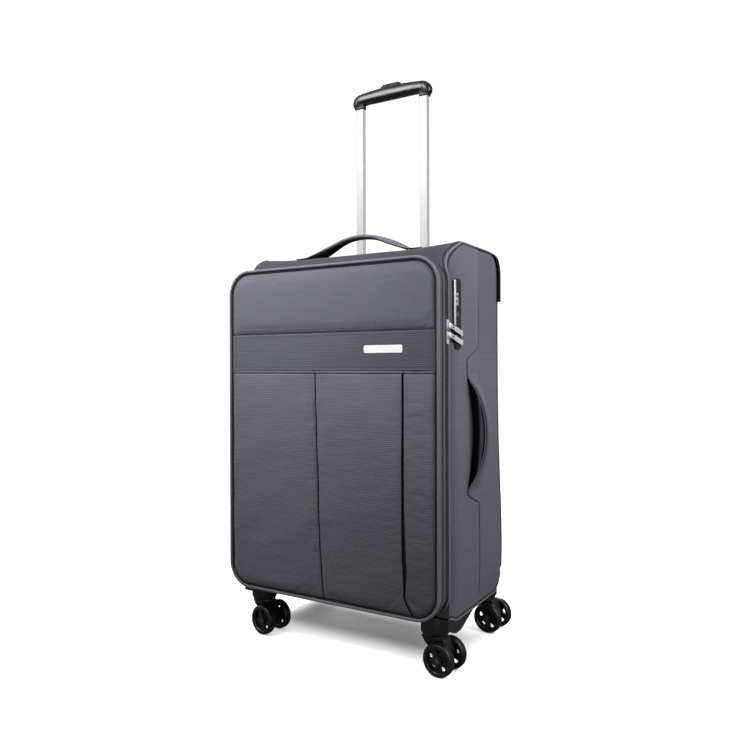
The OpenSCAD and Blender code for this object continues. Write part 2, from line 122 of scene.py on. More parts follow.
def clamp(x, low, high):
    return min(max(x, low), high)


def outline(x0, z0, x1, z1, radius, across, upright, corner):
    """closed rounded rectangle as (n, 2), with a step count for each kind of side"""
    corners = (   # centre, start angle, end of the straight side that follows, its steps
        (x1 - radius, z0 + radius, -90, (x1, z1 - radius), upright),
        (x1 - radius, z1 - radius, 0, (x0 + radius, z1), across),
        (x0 + radius, z1 - radius, 90, (x0, z0 + radius), upright),
        (x0 + radius, z0 + radius, 180, (x1 - radius, z0), across))
    points = []
    for cx, cz, first, end, steps in corners:
        for k in range(corner + 1):
            angle = math.radians(first + 90 * k / corner)
            points.append((cx + radius * math.cos(angle), cz + radius * math.sin(angle)))
        start = points[-1]
        for k in range(1, steps):
            points.append(tuple(a + (b - a) * k / steps for a, b in zip(start, end)))
    return np.array(points)


def upright_ring(y, x0, z0, x1, z1, radius, **steps):
    flat = outline(x0, z0, x1, z1, radius, **steps)
    return np.c_[flat[:, 0], np.full(len(flat), float(y)), flat[:, 1]]


def lid_ring(y, grow, corner=14):
    """lid outline at depth y, grown outwards"""
    return upright_ring(y, -LID_HALF - grow, LID_BOTTOM - grow, LID_HALF + grow, LID_TOP + grow,
                        LID_RADIUS + grow, across=60, upright=76, corner=corner)


def body_ring(y, half, bottom, top, radius):
    return upright_ring(y, -half, bottom, half, top, radius, across=56, upright=76, corner=10)


def resample(path, step, closed=True):
    p = np.asarray(path, float)
    if closed:
        p = np.vstack([p, p[:1]])
    length = np.r_[0, np.cumsum(np.linalg.norm(np.diff(p, axis=0), axis=1))]
    count = max(4, int(round(length[-1] / step)))
    t = np.linspace(0, length[-1], count + (0 if closed else 1), endpoint=not closed)
    return np.stack([np.interp(t, length, p[:, k]) for k in range(3)], 1)


def tangents(path, closed):
    if closed:
        t = np.roll(path, -1, 0) - np.roll(path, 1, 0)
    else:
        t = np.gradient(path, axis=0)
    return t / np.linalg.norm(t, axis=1)[:, None]


def outward(path, axis):
    """tangents and outward normals of a closed path that lies across an axis"""
    t = tangents(path, True)
    n = np.cross(t, np.array(axis, float))
    n /= np.linalg.norm(n, axis=1)[:, None]
    if ((path - path.mean(0)) * n).sum() < 0:
        n = -n
    return t, n


def soften(arrays, passes):
    """smooths each array in place, ends kept"""
    for values in arrays:
        for _ in range(passes):
            values[1:-1] = 0.5 * values[1:-1] + 0.25 * (values[2:] + values[:-2])


def superellipse(half_a, half_b, count, power):
    t = np.linspace(0, 2 * math.pi, count, endpoint=False)
    c, s = np.cos(t), np.sin(t)
    return np.stack([half_a * np.sign(c) * np.abs(c) ** (2 / power),
                     half_b * np.sign(s) * np.abs(s) ** (2 / power)], 1)


# ------------------------------------------------------------------ mesh helpers
def fill_out(vertices):
    """packed lower rear corners push the soft side out a little"""
    v = np.array(vertices, float)
    x, y, z = v.T
    height = np.exp(-((z - 165) / 150) ** 2) * np.clip((z - 80) / 40, 0, 1)
    v[:, 0] += (np.sign(x) * 7.0 * height * smooth(120, 228, y)
                * np.clip((np.abs(x) - 110) / 85, 0, 1))
    return v


def mesh_object(name, vertices, faces, material, body, sharp=None, slot=None, replaces=None,
                packed=False):
    """object from case millimetres; packed ones follow the swelling of the lower rear corners"""
    if packed:
        vertices = fill_out(vertices)
    mesh = bpy.data.meshes.new(name)
    mesh.from_pydata(to_row(vertices).tolist(), [], [tuple(int(i) for i in q) for q in faces])
    mesh.validate()
    bm = bmesh.new()
    bm.from_mesh(mesh)
    bmesh.ops.recalc_face_normals(bm, faces=bm.faces)
    bm.to_mesh(mesh)
    bm.free()
    mesh.update()
    mesh.shade_smooth()
    if sharp:
        mesh.set_sharp_from_angle(angle=math.radians(sharp))
    obj = bpy.data.objects.new(name, mesh)
    scene.collection.objects.link(obj)
    mesh.materials.append(material)
    if replaces:
        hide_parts(replaces)
    if body:
        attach(obj, body)
    return obj


def loft(rings, capped=False, wrap=False):
    """skin over (n, N, 3) rings; capped closes both ends to their centres, wrap joins the ends"""
    rings = np.asarray(rings, float)
    n, N = rings.shape[:2]
    vertices, faces = [rings.reshape(-1, 3)], []
    here = np.arange(N)
    after = (here + 1) % N
    for i in range(n if wrap else n - 1):
        a, b = i * N, ((i + 1) % n) * N
        faces += np.stack([a + here, a + after, b + after, b + here], 1).tolist()
    if capped:
        for centre, k in ((n * N, 0), (n * N + 1, n - 1)):
            vertices.append(rings[k].mean(0)[None])
            faces += [[k * N + j, k * N + (j + 1) % N, centre] for j in range(N)]
    return np.concatenate(vertices), faces


def cord(name, path, radius, material, body, closed=True, sides=10, axis=(0, 1, 0), **settings):
    """round cord along a path"""
    p = np.asarray(path, float)
    t = tangents(p, closed)
    a = np.cross(t, np.asarray(axis, float))
    a /= np.maximum(np.linalg.norm(a, axis=1)[:, None], 1e-9)
    b = np.cross(t, a)
    turn = np.linspace(0, 2 * math.pi, sides, endpoint=False)[None, :, None]
    rings = p[:, None] + radius * (a[:, None] * np.cos(turn) + b[:, None] * np.sin(turn))
    v, f = loft(rings, capped=not closed, wrap=closed)
    return mesh_object(name, v, f, material, body, **settings)


BOX_CORNERS = np.array([[x, y, z] for x in (-.5, .5) for y in (-.5, .5) for z in (-.5, .5)])
BOX_FACES = [[0, 1, 3, 2], [4, 6, 7, 5], [0, 4, 5, 1], [2, 3, 7, 6], [0, 2, 6, 4], [1, 5, 7, 3]]


def blocks(points, along, normals, size, taper):
    """many small blocks; size is (along the path, across it, along the normal)"""
    across = np.cross(normals, along)
    across /= np.linalg.norm(across, axis=1)[:, None]
    box = BOX_CORNERS.copy()
    box[box[:, 2] > 0, :2] *= taper
    v = points[:, None]
    for k, axis in enumerate((along, across, normals)):
        v = v + box[None, :, k:k + 1] * size[k] * axis[:, None]
    return v.reshape(-1, 3), [[i * 8 + k for k in q] for i in range(len(points)) for q in BOX_FACES]


# ------------------------------------------------------------------ shader helpers
class Value:
    """output of a shader node; arithmetic on it adds Math nodes to its tree"""

    def __init__(self, tree, node, output=0):
        self.tree, self.node = tree, node
        self.socket = node.outputs[output]

    def output(self, name):
        return Value(self.tree, self.node, name)

    def split(self):
        parts = add(self.tree, "SeparateXYZ", {0: self})
        return [parts.output(axis) for axis in range(3)]

    def math(self, operation, other=None, clamped=False, swap=False):
        operands = (other, self) if swap else (self, other)
        inputs = {k: q for k, q in enumerate(operands) if q is not None}
        return add(self.tree, "Math", inputs, operation=operation, use_clamp=clamped)

    def ramp(self, start, end, low=0.0, high=1.0):
        """smooth step from low at start to high at end"""
        return add(self.tree, "MapRange", {"From Min": start, "From Max": end, "To Min": low,
                                           "To Max": high, "Value": self},
                   interpolation_type="SMOOTHSTEP")

    def __add__(self, other):
        return self.math("ADD", other)

    def __radd__(self, other):
        return self.math("ADD", other, swap=True)

    def __sub__(self, other):
        return self.math("SUBTRACT", other)

    def __rsub__(self, other):
        return self.math("SUBTRACT", other, swap=True)

    def __mul__(self, other):
        return self.math("MULTIPLY", other)

    def __truediv__(self, other):
        return self.math("DIVIDE", other)

    def __pow__(self, other):
        return self.math("POWER", other)


def feed(tree, node, inputs):
    """links or sets the inputs of a node"""
    for name, value in inputs.items():
        if isinstance(value, Value):
            tree.links.new(value.socket, node.inputs[name])
        else:
            node.inputs[name].default_value = value


def add(tree, kind, inputs=None, **settings):
    node = tree.nodes.new("ShaderNode" + kind)
    for name, setting in settings.items():
        setattr(node, name, setting)
    feed(tree, node, inputs or {})
    return Value(tree, node)


def new_material(name):
    material = bpy.data.materials.new(name)
    material.use_nodes = True
    tree = material.node_tree
    return material, tree, tree.nodes["Principled BSDF"]


def linear(rgb):
    """0-255 display colour to linear"""
    c = np.asarray(rgb, float) / 255
    return tuple(np.where(c <= 0.04045, c / 12.92, ((c + 0.055) / 1.055) ** 2.4))


def scaled(tree, colour, factor):
    return add(tree, "VectorMath", {0: colour, "Scale": factor}, operation="SCALE")


def bump(tree, height, strength, distance):
    return add(tree, "Bump", {"Strength": strength, "Distance": distance, "Height": height})


# ------------------------------------------------------------------ materials
def fabric(name, rgb, rib=0.0029, rib_bump=0.35, rough=0.8, sheen=0.08, streak=0.12,
           occlusion=0.55, shade=None):
    """ribbed cloth; rib is the row pitch in metres, shade(x, y, z) gives a factor over the case"""
    thread_pitch = 0.0011
    material, tree, surface = new_material(name)
    place = add(tree, "TexCoord").output("Object")
    x, y, z = place.split()
    normal_z = add(tree, "NewGeometry").output("True Normal").split()[2]
    # ribs follow the height on the sides and the depth on the top and bottom
    level = normal_z.math("ABSOLUTE").math("GREATER_THAN", 0.7)
    across_ribs = z * (1.0 - level) + y * level
    wander = add(tree, "TexNoise", {"Vector": place, "Scale": 60.0, "Detail": 3.0,
                                    "Roughness": 0.6}) * 0.0012
    rib_wave = ((across_ribs + wander) * (2 * math.pi / rib)).math("SINE")
    thread_wave = ((x + y) * (2 * math.pi / thread_pitch)).math("SINE")
    rows = (rib_wave * 0.5 + 0.5) ** 2.5
    weave = rows + thread_wave * rib_wave * 0.25
    # long slubs along the rib direction
    stretched = add(tree, "Mapping", {"Vector": place, "Scale": (14, 14, 420)})
    slubs = add(tree, "TexNoise", {"Vector": stretched, "Scale": 1.0, "Detail": 4.0,
                                   "Roughness": 0.65})
    patches = add(tree, "TexNoise", {"Vector": place, "Scale": 7.0, "Detail": 3.0})
    grain = add(tree, "TexNoise", {"Vector": place, "Scale": 900.0, "Detail": 2.0})
    slub_mask = (slubs - 0.42).math("MULTIPLY", 4.5, clamped=True)
    tone = ((rows * slub_mask * (streak * 2.6) + (patches - 0.5) * 0.10)
            + ((grain - 0.5) * 0.25 + weave * 0.10)) + 1.0
    if occlusion:
        # painted shade: the base colour darkens in crevices by ambient occlusion
        lit = add(tree, "AmbientOcclusion", {"Distance": 0.022}, samples=6).output("AO")
        tone = tone * ((1.0 - occlusion) + lit ** 1.3 * occlusion)
    specular = 0.25
    feed(tree, surface, {
        "Roughness": rough, "Specular IOR Level": specular, "Sheen Weight": sheen,
        "Sheen Roughness": 0.5, "Sheen Tint": (0.8, 0.8, 0.9, 1)})
    if shade:
        shading = shade(x, y, z)
        tone = tone * shading
        feed(tree, surface, {
            "Specular IOR Level": shading.math("MULTIPLY", specular, clamped=True),
            "Sheen Weight": shading.math("MULTIPLY", sheen, clamped=True)})
    feed(tree, surface, {
        "Base Color": scaled(tree, linear(rgb), tone),
        "Normal": bump(tree, weave + slubs * 0.9, strength=rib_bump, distance=0.0005)})
    return material


def plastic(name, rgb, rough=0.42, grain_bump=0.15, specular=0.5, wear=0.15):
    """grained plastic, lighter where its edges wear"""
    material, tree, surface = new_material(name)
    place = add(tree, "TexCoord").output("Object")
    grain = add(tree, "TexVoronoi", {"Vector": place, "Scale": 1.0 / 0.0006})
    mottle = add(tree, "TexNoise", {"Vector": place, "Scale": 35.0, "Detail": 5.0,
                                    "Roughness": 0.6})
    pointed = add(tree, "NewGeometry").output("Pointiness")
    edge = pointed.math("SUBTRACT", 0.52, clamped=True).math("MULTIPLY", 6.0, clamped=True)
    tone = 1.0 + ((mottle - 0.5) * 0.25 + edge * (wear * 6))
    feed(tree, surface, {
        "Base Color": scaled(tree, linear(rgb), tone),
        "Roughness": rough + (mottle - 0.5) * 0.25,
        "Specular IOR Level": specular,
        "Normal": bump(tree, grain.output("Distance"), strength=grain_bump, distance=0.0002)})
    return material


def metal(name, rgb, rough, brushed, metallic=1.0):
    """brushed metal; brushed is the noise frequency along x, y and z"""
    material, tree, surface = new_material(name)
    place = add(tree, "TexCoord").output("Object")
    stretched = add(tree, "Mapping", {"Vector": place, "Scale": brushed})
    brushing = add(tree, "TexNoise", {"Vector": stretched, "Scale": 1.0, "Detail": 5.0,
                                      "Roughness": 0.7})
    feed(tree, surface, {
        "Base Color": scaled(tree, linear(rgb), 1.0 + (brushing - 0.5) * 0.12),
        "Roughness": rough + (brushing - 0.5) * 0.2,
        "Metallic": metallic,
        "Normal": bump(tree, brushing, strength=0.05, distance=0.0001)})
    return material


def front_shade(x, y, z):
    """painted shade: darker towards the lower right of the front, a little lighter elsewhere"""
    low = 1.0 - z.ramp(0.08, 0.46)
    side = 0.25 + (x - OX).ramp(-0.16, 0.2) * 0.75
    return 1.06 - low * side * 0.42


def side_shade(x, y, z):
    """painted shading of the sides and top"""
    # painted shadow of the side handle on the panel behind it
    up = (z - 0.3645) / 0.088
    handle_shadow_front = (0.1255 + OY) - up * up * 0.0215
    behind = y - handle_shadow_front
    handle_shadow = behind.ramp(-0.003, 0.0035) * (1.0 - behind.ramp(0.026, 0.050))
    handle_shadow = handle_shadow * (1.0 - up.math("ABSOLUTE").ramp(0.93, 1.06))
    handle_shadow = handle_shadow * x.math("GREATER_THAN", 0.15 + OX)
    tone = 1.0 - handle_shadow * 0.985
    # painted shade darkens the top and the collar behind the lid
    normal_z = add(x.tree, "NewGeometry").output("Normal").split()[2]
    tone = tone * (1.0 - normal_z.ramp(0.25, 0.85) * 0.52)
    tone = tone * (1.0 - (1.0 - y.ramp(0.034 + OY, 0.075 + OY)) * 0.28)
    # painted highlight and shade of a soft upright fold in the upper side panel
    upper = z.ramp(0.47, 0.54)
    fold = y.ramp(0.128 + OY, 0.1495 + OY) * 0.12 - y.ramp(0.1495 + OY, 0.153 + OY) * 0.24
    return tone * (1.0 + fold * upper)


def band_shade(x, y, z):
    """slightly darker to the right"""
    return x.ramp(-0.12, 0.19, low=1.06, high=0.88)


def edge_shade_and_glow(material, dark, glow):
    """painted shade: rounded edges darker than the flat face, and a painted glow over the part"""
    tree = material.node_tree
    surface = tree.nodes["Principled BSDF"]
    colour = Value(tree, surface.inputs["Base Color"].links[0].from_node)
    facing = add(tree, "LayerWeight", {"Blend": 0.5}).output("Facing")
    turned = facing.ramp(0.2, 0.75, low=1.0, high=dark)
    x, y, _ = add(tree, "NewGeometry").output("Normal").split()
    diagonal = x.math("ABSOLUTE", 0.0) * y.math("ABSOLUTE", 0.0)
    edge_shade = turned * (1.0 - diagonal.math("MULTIPLY", 2.0, clamped=True) * 0.62)
    # painted shade in the base colour, and a painted glow from the emission
    feed(tree, surface, {"Base Color": scaled(tree, colour, edge_shade),
                         "Emission Color": (0.985, 0.985, 1.0, 1),
                         "Emission Strength": edge_shade * glow})


FINE = dict(rib=0.0009, streak=0.02)      # close weave of the narrow trims
# settings shared by the painted seam shadows
SEAM_SHADOW_LOOK = dict(rib_bump=0.1, sheen=0.0, occlusion=0, **FINE)

FRONT_FABRIC = fabric("case_fabric", rgb=(92, 91, 99), shade=front_shade)
UPPER_FABRIC = fabric("upper_fabric", rgb=(91, 91, 99), streak=0.05, rib_bump=0.15)
SIDE_FABRIC = fabric("side_fabric", rgb=(92, 91, 99), streak=0.08, shade=side_shade)
BAND_FABRIC = fabric("band_fabric", rgb=(80, 80, 87), streak=0.12, shade=band_shade)
PIPING = fabric("piping_fabric", rgb=(100, 99, 107), rib_bump=0.15, sheen=0.2, rough=0.6, **FINE)
# near-black painted seam shadow, laid in the gaps beside piping, zips, hems and pocket seams
SEAM_SHADOW = fabric("painted_seam_shadow", rgb=(24, 24, 27), **SEAM_SHADOW_LOOK)
# mid-dark painted seam shadow for the side seam and the feet of the handle patches
SOFT_SEAM_SHADOW = fabric("painted_soft_seam_shadow", rgb=(52, 52, 57), **SEAM_SHADOW_LOOK)
BINDING = fabric("edge_binding", rgb=(122, 121, 127), rib_bump=0.1, sheen=0.2, occlusion=0,
                 **FINE)
STRAP = fabric("strap_fabric", rgb=(94, 93, 101), rib=0.0014, rib_bump=0.3, streak=0.05)
ZIP_TAPE = fabric("zip_tape", rgb=(38, 38, 42), rib=0.0008, rib_bump=0.3, streak=0.03, sheen=0.1)
ZIP_COIL = plastic("zip_coil", rgb=(30, 30, 33), rough=0.35, grain_bump=0.0)
THREAD = fabric("stitch_thread", rgb=(84, 83, 92), rib=0.0004, rib_bump=0.1, streak=0.0,
                sheen=0.6)
LINING = fabric("lining_fabric", rgb=(58, 58, 66), rib=0.0022, rib_bump=0.12, streak=0.05,
                rough=0.6, sheen=0.2)
UNDERSIDE = fabric("handle_underside", rgb=(16, 16, 17), rib=0.002, rib_bump=0.5, streak=0.02,
                   sheen=0.05, rough=0.75)
BLACK = plastic("black_plastic", rgb=(13, 13, 14), rough=0.40)
GRIP_BLACK = plastic("grip_plastic", rgb=(16, 16, 18), rough=0.33, grain_bump=0.06, specular=0.6)
HOUSING = plastic("housing_plastic", rgb=(25, 25, 27), rough=0.46)
GUARD = plastic("guard_plastic", rgb=(14, 14, 15), rough=0.62, specular=0.22, wear=0.05)
WHEEL = plastic("wheel_plastic", rgb=(17, 17, 18), rough=0.36, grain_bump=0.05)
plastic("wheel_tyre", rgb=(28, 28, 28), rough=0.6, grain_bump=0.2)    # spare, for the wheel treads
BOARD = plastic("inner_board", rgb=(34, 34, 36), rough=0.6)
BRIGHT = metal("zip_metal", rgb=(228, 228, 231), rough=0.3, brushed=(300, 300, 300),
               metallic=0.55)
BADGE = metal("badge_metal", rgb=(252, 252, 253), rough=0.35, brushed=(60, 60, 900),
              metallic=0.15)
ALUMINIUM = metal("tube_aluminium", rgb=(74, 74, 76), rough=0.34, brushed=(900, 900, 12),
                  metallic=0.1)
edge_shade_and_glow(ALUMINIUM, dark=0.66, glow=0.5)
STEEL = metal("plain_steel", rgb=(150, 150, 154), rough=0.35, brushed=(200, 200, 200))
GREY_TAPE = fabric("zip_tape_grey", rgb=(66, 66, 71), rib=0.0012, rib_bump=0.3, streak=0.03)


# ------------------------------------------------------------------ body shape
def body_station(y):
    """(half width, bottom, top, corner radius) of the body at depth y"""
    rise = clamp((y - BODY_FRONT) / 59.0, 0, 1)
    half = BODY_HALF
    top = 637.5 + 32.5 * math.sin(math.pi / 2 * rise) ** 1.25
    radius = 8 + 32 * (1 - rise) ** 1.6
    bottom = 88.5 - 6.5 * float(smooth(34, 62, y))
    if y > TOP_TURN:
        past = y - TOP_TURN
        top = TOP_CENTRE + math.sqrt(max(BACK_TOP_RADIUS ** 2 - past ** 2, 0))
        half -= 5 * (1 - math.cos(math.asin(min(1, past / BACK_TOP_RADIUS))))
        radius = 8 + 6 * past / BACK_TOP_RADIUS
    if y > BOTTOM_TURN:
        bottom = BOTTOM_CENTRE - math.sqrt(max(BACK_BOTTOM_RADIUS ** 2 - (y - BOTTOM_TURN) ** 2, 0))
    return half, bottom, top, radius


def side_x(y, z):
    """x of the right side surface, without its crown"""
    half, bottom, top, radius = body_station(y)
    if z > top - radius:
        into = min(z, top) - (top - radius)
    elif z < bottom + radius:
        into = max(z, bottom) - (bottom + radius)
    else:
        return half
    return half - radius + math.sqrt(max(radius * radius - into ** 2, 0))


def depth_fade(y):
    return np.clip((y - 40) / 14, 0, 1) * np.clip((246 - y) / 14, 0, 1)


def height_fade(z, bottom, top):
    return np.clip((z - bottom) / 60, 0, 1) * np.clip((top - z) / 60, 0, 1)


def crowned_x(y, z):
    """x of the right side surface on the swollen side panel"""
    half, bottom, top, _ = body_station(y)
    return half + CROWN * depth_fade(y) * np.sin(np.pi / 2 * height_fade(z, bottom, top))


def sag(x, y):
    """how far the soft top hangs between its stiffened ends"""
    fx = np.clip((LID_HALF - np.abs(x)) / 110, 0, 1)
    fy = np.clip((y - 58) / 26, 0, 1) * np.clip((206 - y) / 34, 0, 1)
    return 5.6 * np.sin(np.pi / 2 * fx) * fy * fy * (3 - 2 * fy)


# ------------------------------------------------------------------ body shell
OUTER_Y = np.r_[34, 35.5, 38, 41, 45, 50, 55, 60, 66, 72, 79, 86, 93, np.arange(101, 149, 8),
                150.2, 151.2, 152, 152.8, 153.8, np.arange(160, 214, 8),
                TOP_TURN + BACK_TOP_RADIUS * np.sin(np.linspace(0, math.pi / 2, 11))]
INNER_Y = (247.9, 246, 240, 230, 214, 180, 150, 110, 80, 60, 50, 42, 36, 34)
INNER_BACK_Y = 247.9
WALL = 4.2
OPENING = ((-88.2, 210.0, 0), (88.2, 240.0, 0))      # corners of the hole in the top


def outer_ring(y):
    """body section; the panels crown between their edges, with slight creases"""
    half, bottom, top, radius = body_station(y)
    ring = body_ring(y, half, bottom, top, radius)
    x, z = ring[:, 0], ring[:, 2]
    on_side = np.abs(x) > half - 0.01
    fade_y = depth_fade(y)
    fade_z = height_fade(z, bottom, top)
    crown = CROWN * fade_y * np.sin(np.pi / 2 * fade_z)
    creases = 0.35 * noise(ring, 5, 130) * fade_y * fade_z
    groove = (-1.1 * math.exp(-((y - SEAM_Y) / 0.9) ** 2)
              * np.clip((z - bottom - 6) / 6, 0, 1) * np.clip((top - 14 - z) / 6, 0, 1))
    ring[:, 0] += np.sign(x) * np.where(on_side, crown + creases + groove, 0)
    on_top = z > top - 0.01
    ring[:, 2] += np.where(on_top, 0.5 * noise(ring, 9, 90) * fade_y - sag(x, y), 0)
    return ring


def back_rings():
    """outer back panel in rings that shrink to the middle, and its inner side growing again"""
    half, bottom, top, radius = body_station(BODY_BACK)
    middle, half_height = (top + bottom) / 2, (top - bottom) / 2

    def shrunk_ring(y, scale, half, half_height):
        return body_ring(y, half * scale, middle - half_height * scale,
                         middle + half_height * scale, max(0.6, radius * scale))

    outer = []
    for scale in np.linspace(0.985, 0.06, 16):
        ring = shrunk_ring(BODY_BACK, scale, half, half_height)
        ring[:, 1] += (1.8 * math.sin(min(1.0, (1 - scale) * 4) * math.pi / 2)
                       + 0.4 * noise(ring, 12, 160))
        outer.append(ring)
    inner = [shrunk_ring(INNER_BACK_Y, scale, half - 5, half_height - 4)
             for scale in np.linspace(0.06, 0.96, 6)]
    return outer, inner


def inner_ring(y):
    """body section one wall thickness in"""
    half, bottom, top, radius = body_station(min(y + 3.9, BODY_BACK) if y > TOP_TURN else y)
    ring = body_ring(y, half - WALL, bottom + WALL, top - WALL, max(4, radius - 3))
    ring[:, 2] -= np.where(ring[:, 2] > top - WALL - 0.1, sag(ring[:, 0], y), 0)
    return ring


def cut_opening(mesh):
    """opening for the well of the trolley bezel, through both layers and closed round its edge"""
    low, high = to_row(OPENING).tolist()
    bm = bmesh.new()
    bm.from_mesh(mesh)

    def top_faces(side=0.0, front=0.0, back=0.0):
        found = []
        for face in bm.faces:
            c = face.calc_center_median()
            if (c.z > 0.64 and abs(face.normal.z) > 0.5 and low[0] - side < c.x < high[0] + side
                    and low[1] - front < c.y < high[1] + back):
                found.append(face)
        return found

    for axis in ((1, 0, 0), (0, 1, 0)):
        for corner in (low, high):
            faces = top_faces(side=0.02, front=0.03, back=0.0105)
            edges = list({e for f in faces for e in f.edges})
            vertices = list({v for f in faces for v in f.verts})
            bmesh.ops.bisect_plane(bm, geom=vertices + edges + faces, plane_co=corner,
                                   plane_no=axis, dist=1e-6)
    bmesh.ops.delete(bm, geom=top_faces(), context="FACES")
    bmesh.ops.bridge_loops(bm, edges=[e for e in bm.edges if len(e.link_faces) == 1])
    bmesh.ops.recalc_face_normals(bm, faces=bm.faces[:])
    bm.to_mesh(mesh)
    bm.free()


def body_shell():
    back_outer, back_inner = back_rings()
    outer = [outer_ring(y) for y in OUTER_Y] + back_outer
    rings = np.array(outer + back_inner + [inner_ring(y) for y in INNER_Y])
    v, f = loft(rings, wrap=True)
    # the bridge between the smallest outer and inner rings would leave a tube: close both instead
    N = rings.shape[1]
    last = len(outer) - 1
    f = f[:last * N] + f[(last + 1) * N:]
    centre = len(v)
    v = np.vstack([v, rings[last].mean(0)[None], rings[last + 1].mean(0)[None]])
    for j in range(N):
        k = (j + 1) % N
        f.append([last * N + j, last * N + k, centre])
        f.append([(last + 1) * N + k, (last + 1) * N + j, centre + 1])
    shell = mesh_object("body_fabric", v, f, SIDE_FABRIC, "case", sharp=50, slot="case_fabric",
                        replaces="body_shell", packed=True)
    shell.data.materials.append(LINING)
    for q in shell.data.polygons:
        if min(q.vertices) > len(outer) * N and max(q.vertices) < centre:
            q.material_index = 1
    cut_opening(shell.data)


body_shell()

# ------------------------------------------------------------------ side panel piping
EDGE_INSET = 0.4      # the panel edge runs this far inside the body's back and bottom
# (y, z) from the upper front corner back along the top
PANEL_TOP_EDGE = [
    (36.4, 604), (37.2, 614), (39.5, 624), (43.4, 632), (50, 641), (60, 651), (75, 661),
    (93, 668.6), (120, 670), (150, 670), (180, 670), (212, 670)]
# (y, z) along the bottom to the lower front corner
PANEL_BOTTOM_EDGE = [
    (200, 82.4), (160, 82.4), (120, 82.4), (80, 82.4), (60, 82.4),
    (48, 84.5), (41, 90), (37.6, 100), (36.4, 114)]


def panel_edge(side):
    """the seam round a side panel"""
    upper, lower = BACK_TOP_RADIUS - EDGE_INSET, BACK_BOTTOM_RADIUS - EDGE_INSET
    points = list(PANEL_TOP_EDGE)
    for a in np.radians(np.linspace(0, 90, 9)):
        points.append((TOP_TURN + upper * math.sin(a), TOP_CENTRE + upper * math.cos(a)))
    points += [(BODY_BACK - EDGE_INSET, z) for z in np.linspace(600, 130, 12)]
    for a in np.radians(np.linspace(0, 90, 7)):
        points.append((BOTTOM_TURN + lower * math.cos(a), BOTTOM_CENTRE - lower * math.sin(a)))
    points += PANEL_BOTTOM_EDGE
    points += [(36.4, z) for z in np.linspace(150, 590, 12)]
    path = resample(np.c_[np.zeros(len(points)), points], 5.0)
    for _ in range(2):
        path = 0.5 * path + 0.25 * (np.roll(path, 1, 0) + np.roll(path, -1, 0))
    edge = []
    for _, y, z in path:
        _, bottom, top, _ = body_station(clamp(y, BODY_FRONT, 251.9))
        z = clamp(z, bottom + 1.2, top - 1.2)
        edge.append((side * (side_x(min(y, 251.9), z) + 0.2), y, z))
    return np.array(edge)


def side_piping(side, name):
    """cord round a side panel, with the sewn edges on both sides of it drawn in a little and dark
    cords of painted seam shadow along them
    """
    edge = panel_edge(side)
    cord("side_panel_piping_" + name, edge, 2.0, PIPING, "case", axis=(1, 0, 0),
         slot="case_fabric", packed=True)
    _, normals = outward(edge, (1, 0, 0))
    for label, offset in (("out", 2.3), ("in", -2.5)):
        path = edge + normals * offset
        for point in path:
            y = clamp(point[1], 34.2, 251.5)
            _, bottom, top, _ = body_station(y)
            sink = 0.5 if offset > 0 else 0.0
            point[0] = side * (side_x(y, clamp(point[2], bottom + .4, top - .4)) - sink)
            if offset > 0:
                point[2] = clamp(point[2], bottom - 0.2, top + 0.2)
        cord("side_panel_seam_%s_%s" % (name, label), path, 0.85, SEAM_SHADOW, "case", sides=6,
             axis=(1, 0, 0), slot="trim_fabric", packed=True)


for side, name in SIDES:
    side_piping(side, name)


# ------------------------------------------------------------------ lid walls and piping
def lid_band(name, profile, material, body, capped=False, **settings):
    """band round the lid outline from (y, outward offset) points, closed on itself or capped"""
    v, f = loft([lid_ring(y, grow) for y, grow in profile], capped=capped, wrap=not capped)
    return mesh_object(name, v, f, material, body, **settings)


# all profiles: (y, offset outwards from the lid outline)
TRAY_PROFILE = (      # front tray of the lid: wall and the board behind the pockets
    (6.8, -40), (6.8, -4.2), (8, -3.6), (14.6, -3.2), (14.9, -1.6), (14.7, -0.5), (13.4, 0.25),
    (11, 0.6), (8.6, 0.35), (7.3, -0.3), (6.9, -1.0), (6.6, -2.6), (4.9, -2.7), (4.1, -3.0),
    (4.0, -12), (4.0, -40))
REAR_WALL_PROFILE = (
    (18.2, -1.4), (18.5, -0.4), (19.8, 0.3), (22.6, 0.6), (25.4, 0.3), (26.8, -0.3),
    (27.2, -1.4), (27.6, -3.2), (18.2, -3.2))
FLANGE_PROFILE = ((3.2, -1.0), (7.2, -1.3), (7.2, -2.4), (3.2, -2.4))
FRONT_SEAM_SHADOW_PROFILE = ((1.9, -6.4), (1.5, -2.9), (3.9, -2.4), (3.9, -6.4))

lid_band("lid_gusset_front", TRAY_PROFILE, SIDE_FABRIC, "lid_front", capped=True, sharp=50,
         slot="case_fabric", replaces="lid_shell")
lid_band("lid_gusset_rear", REAR_WALL_PROFILE, SIDE_FABRIC, "lid_frame", sharp=50,
         slot="case_fabric", replaces="lid_ring")
# cord sewn into the front edge
cord("lid_piping", lid_ring(1.4, 0.2, corner=16), 2.55, PIPING, "lid_front", sides=12,
     slot="case_fabric")
# dark strips of painted shade in the gaps behind the piping and between it and the front panels
lid_band("lid_piping_flange", FLANGE_PROFILE, SEAM_SHADOW, "lid_front", sharp=40, slot="trim_fabric")
lid_band("front_seam_shadow", FRONT_SEAM_SHADOW_PROFILE, SEAM_SHADOW, "lid_front", sharp=40, slot="trim_fabric")


# ------------------------------------------------------------------ zips
TAPE_THICKNESS = 0.9
TOOTH_PITCH = 2.6
TOOTH_SIZE = (1.5, 1.5, 1.3)


def in_hinge(points):
    z = points[:, 2]
    return (points[:, 0] < -LID_HALF + 20) & (z > HINGE_Z[0]) & (z < HINGE_Z[1])


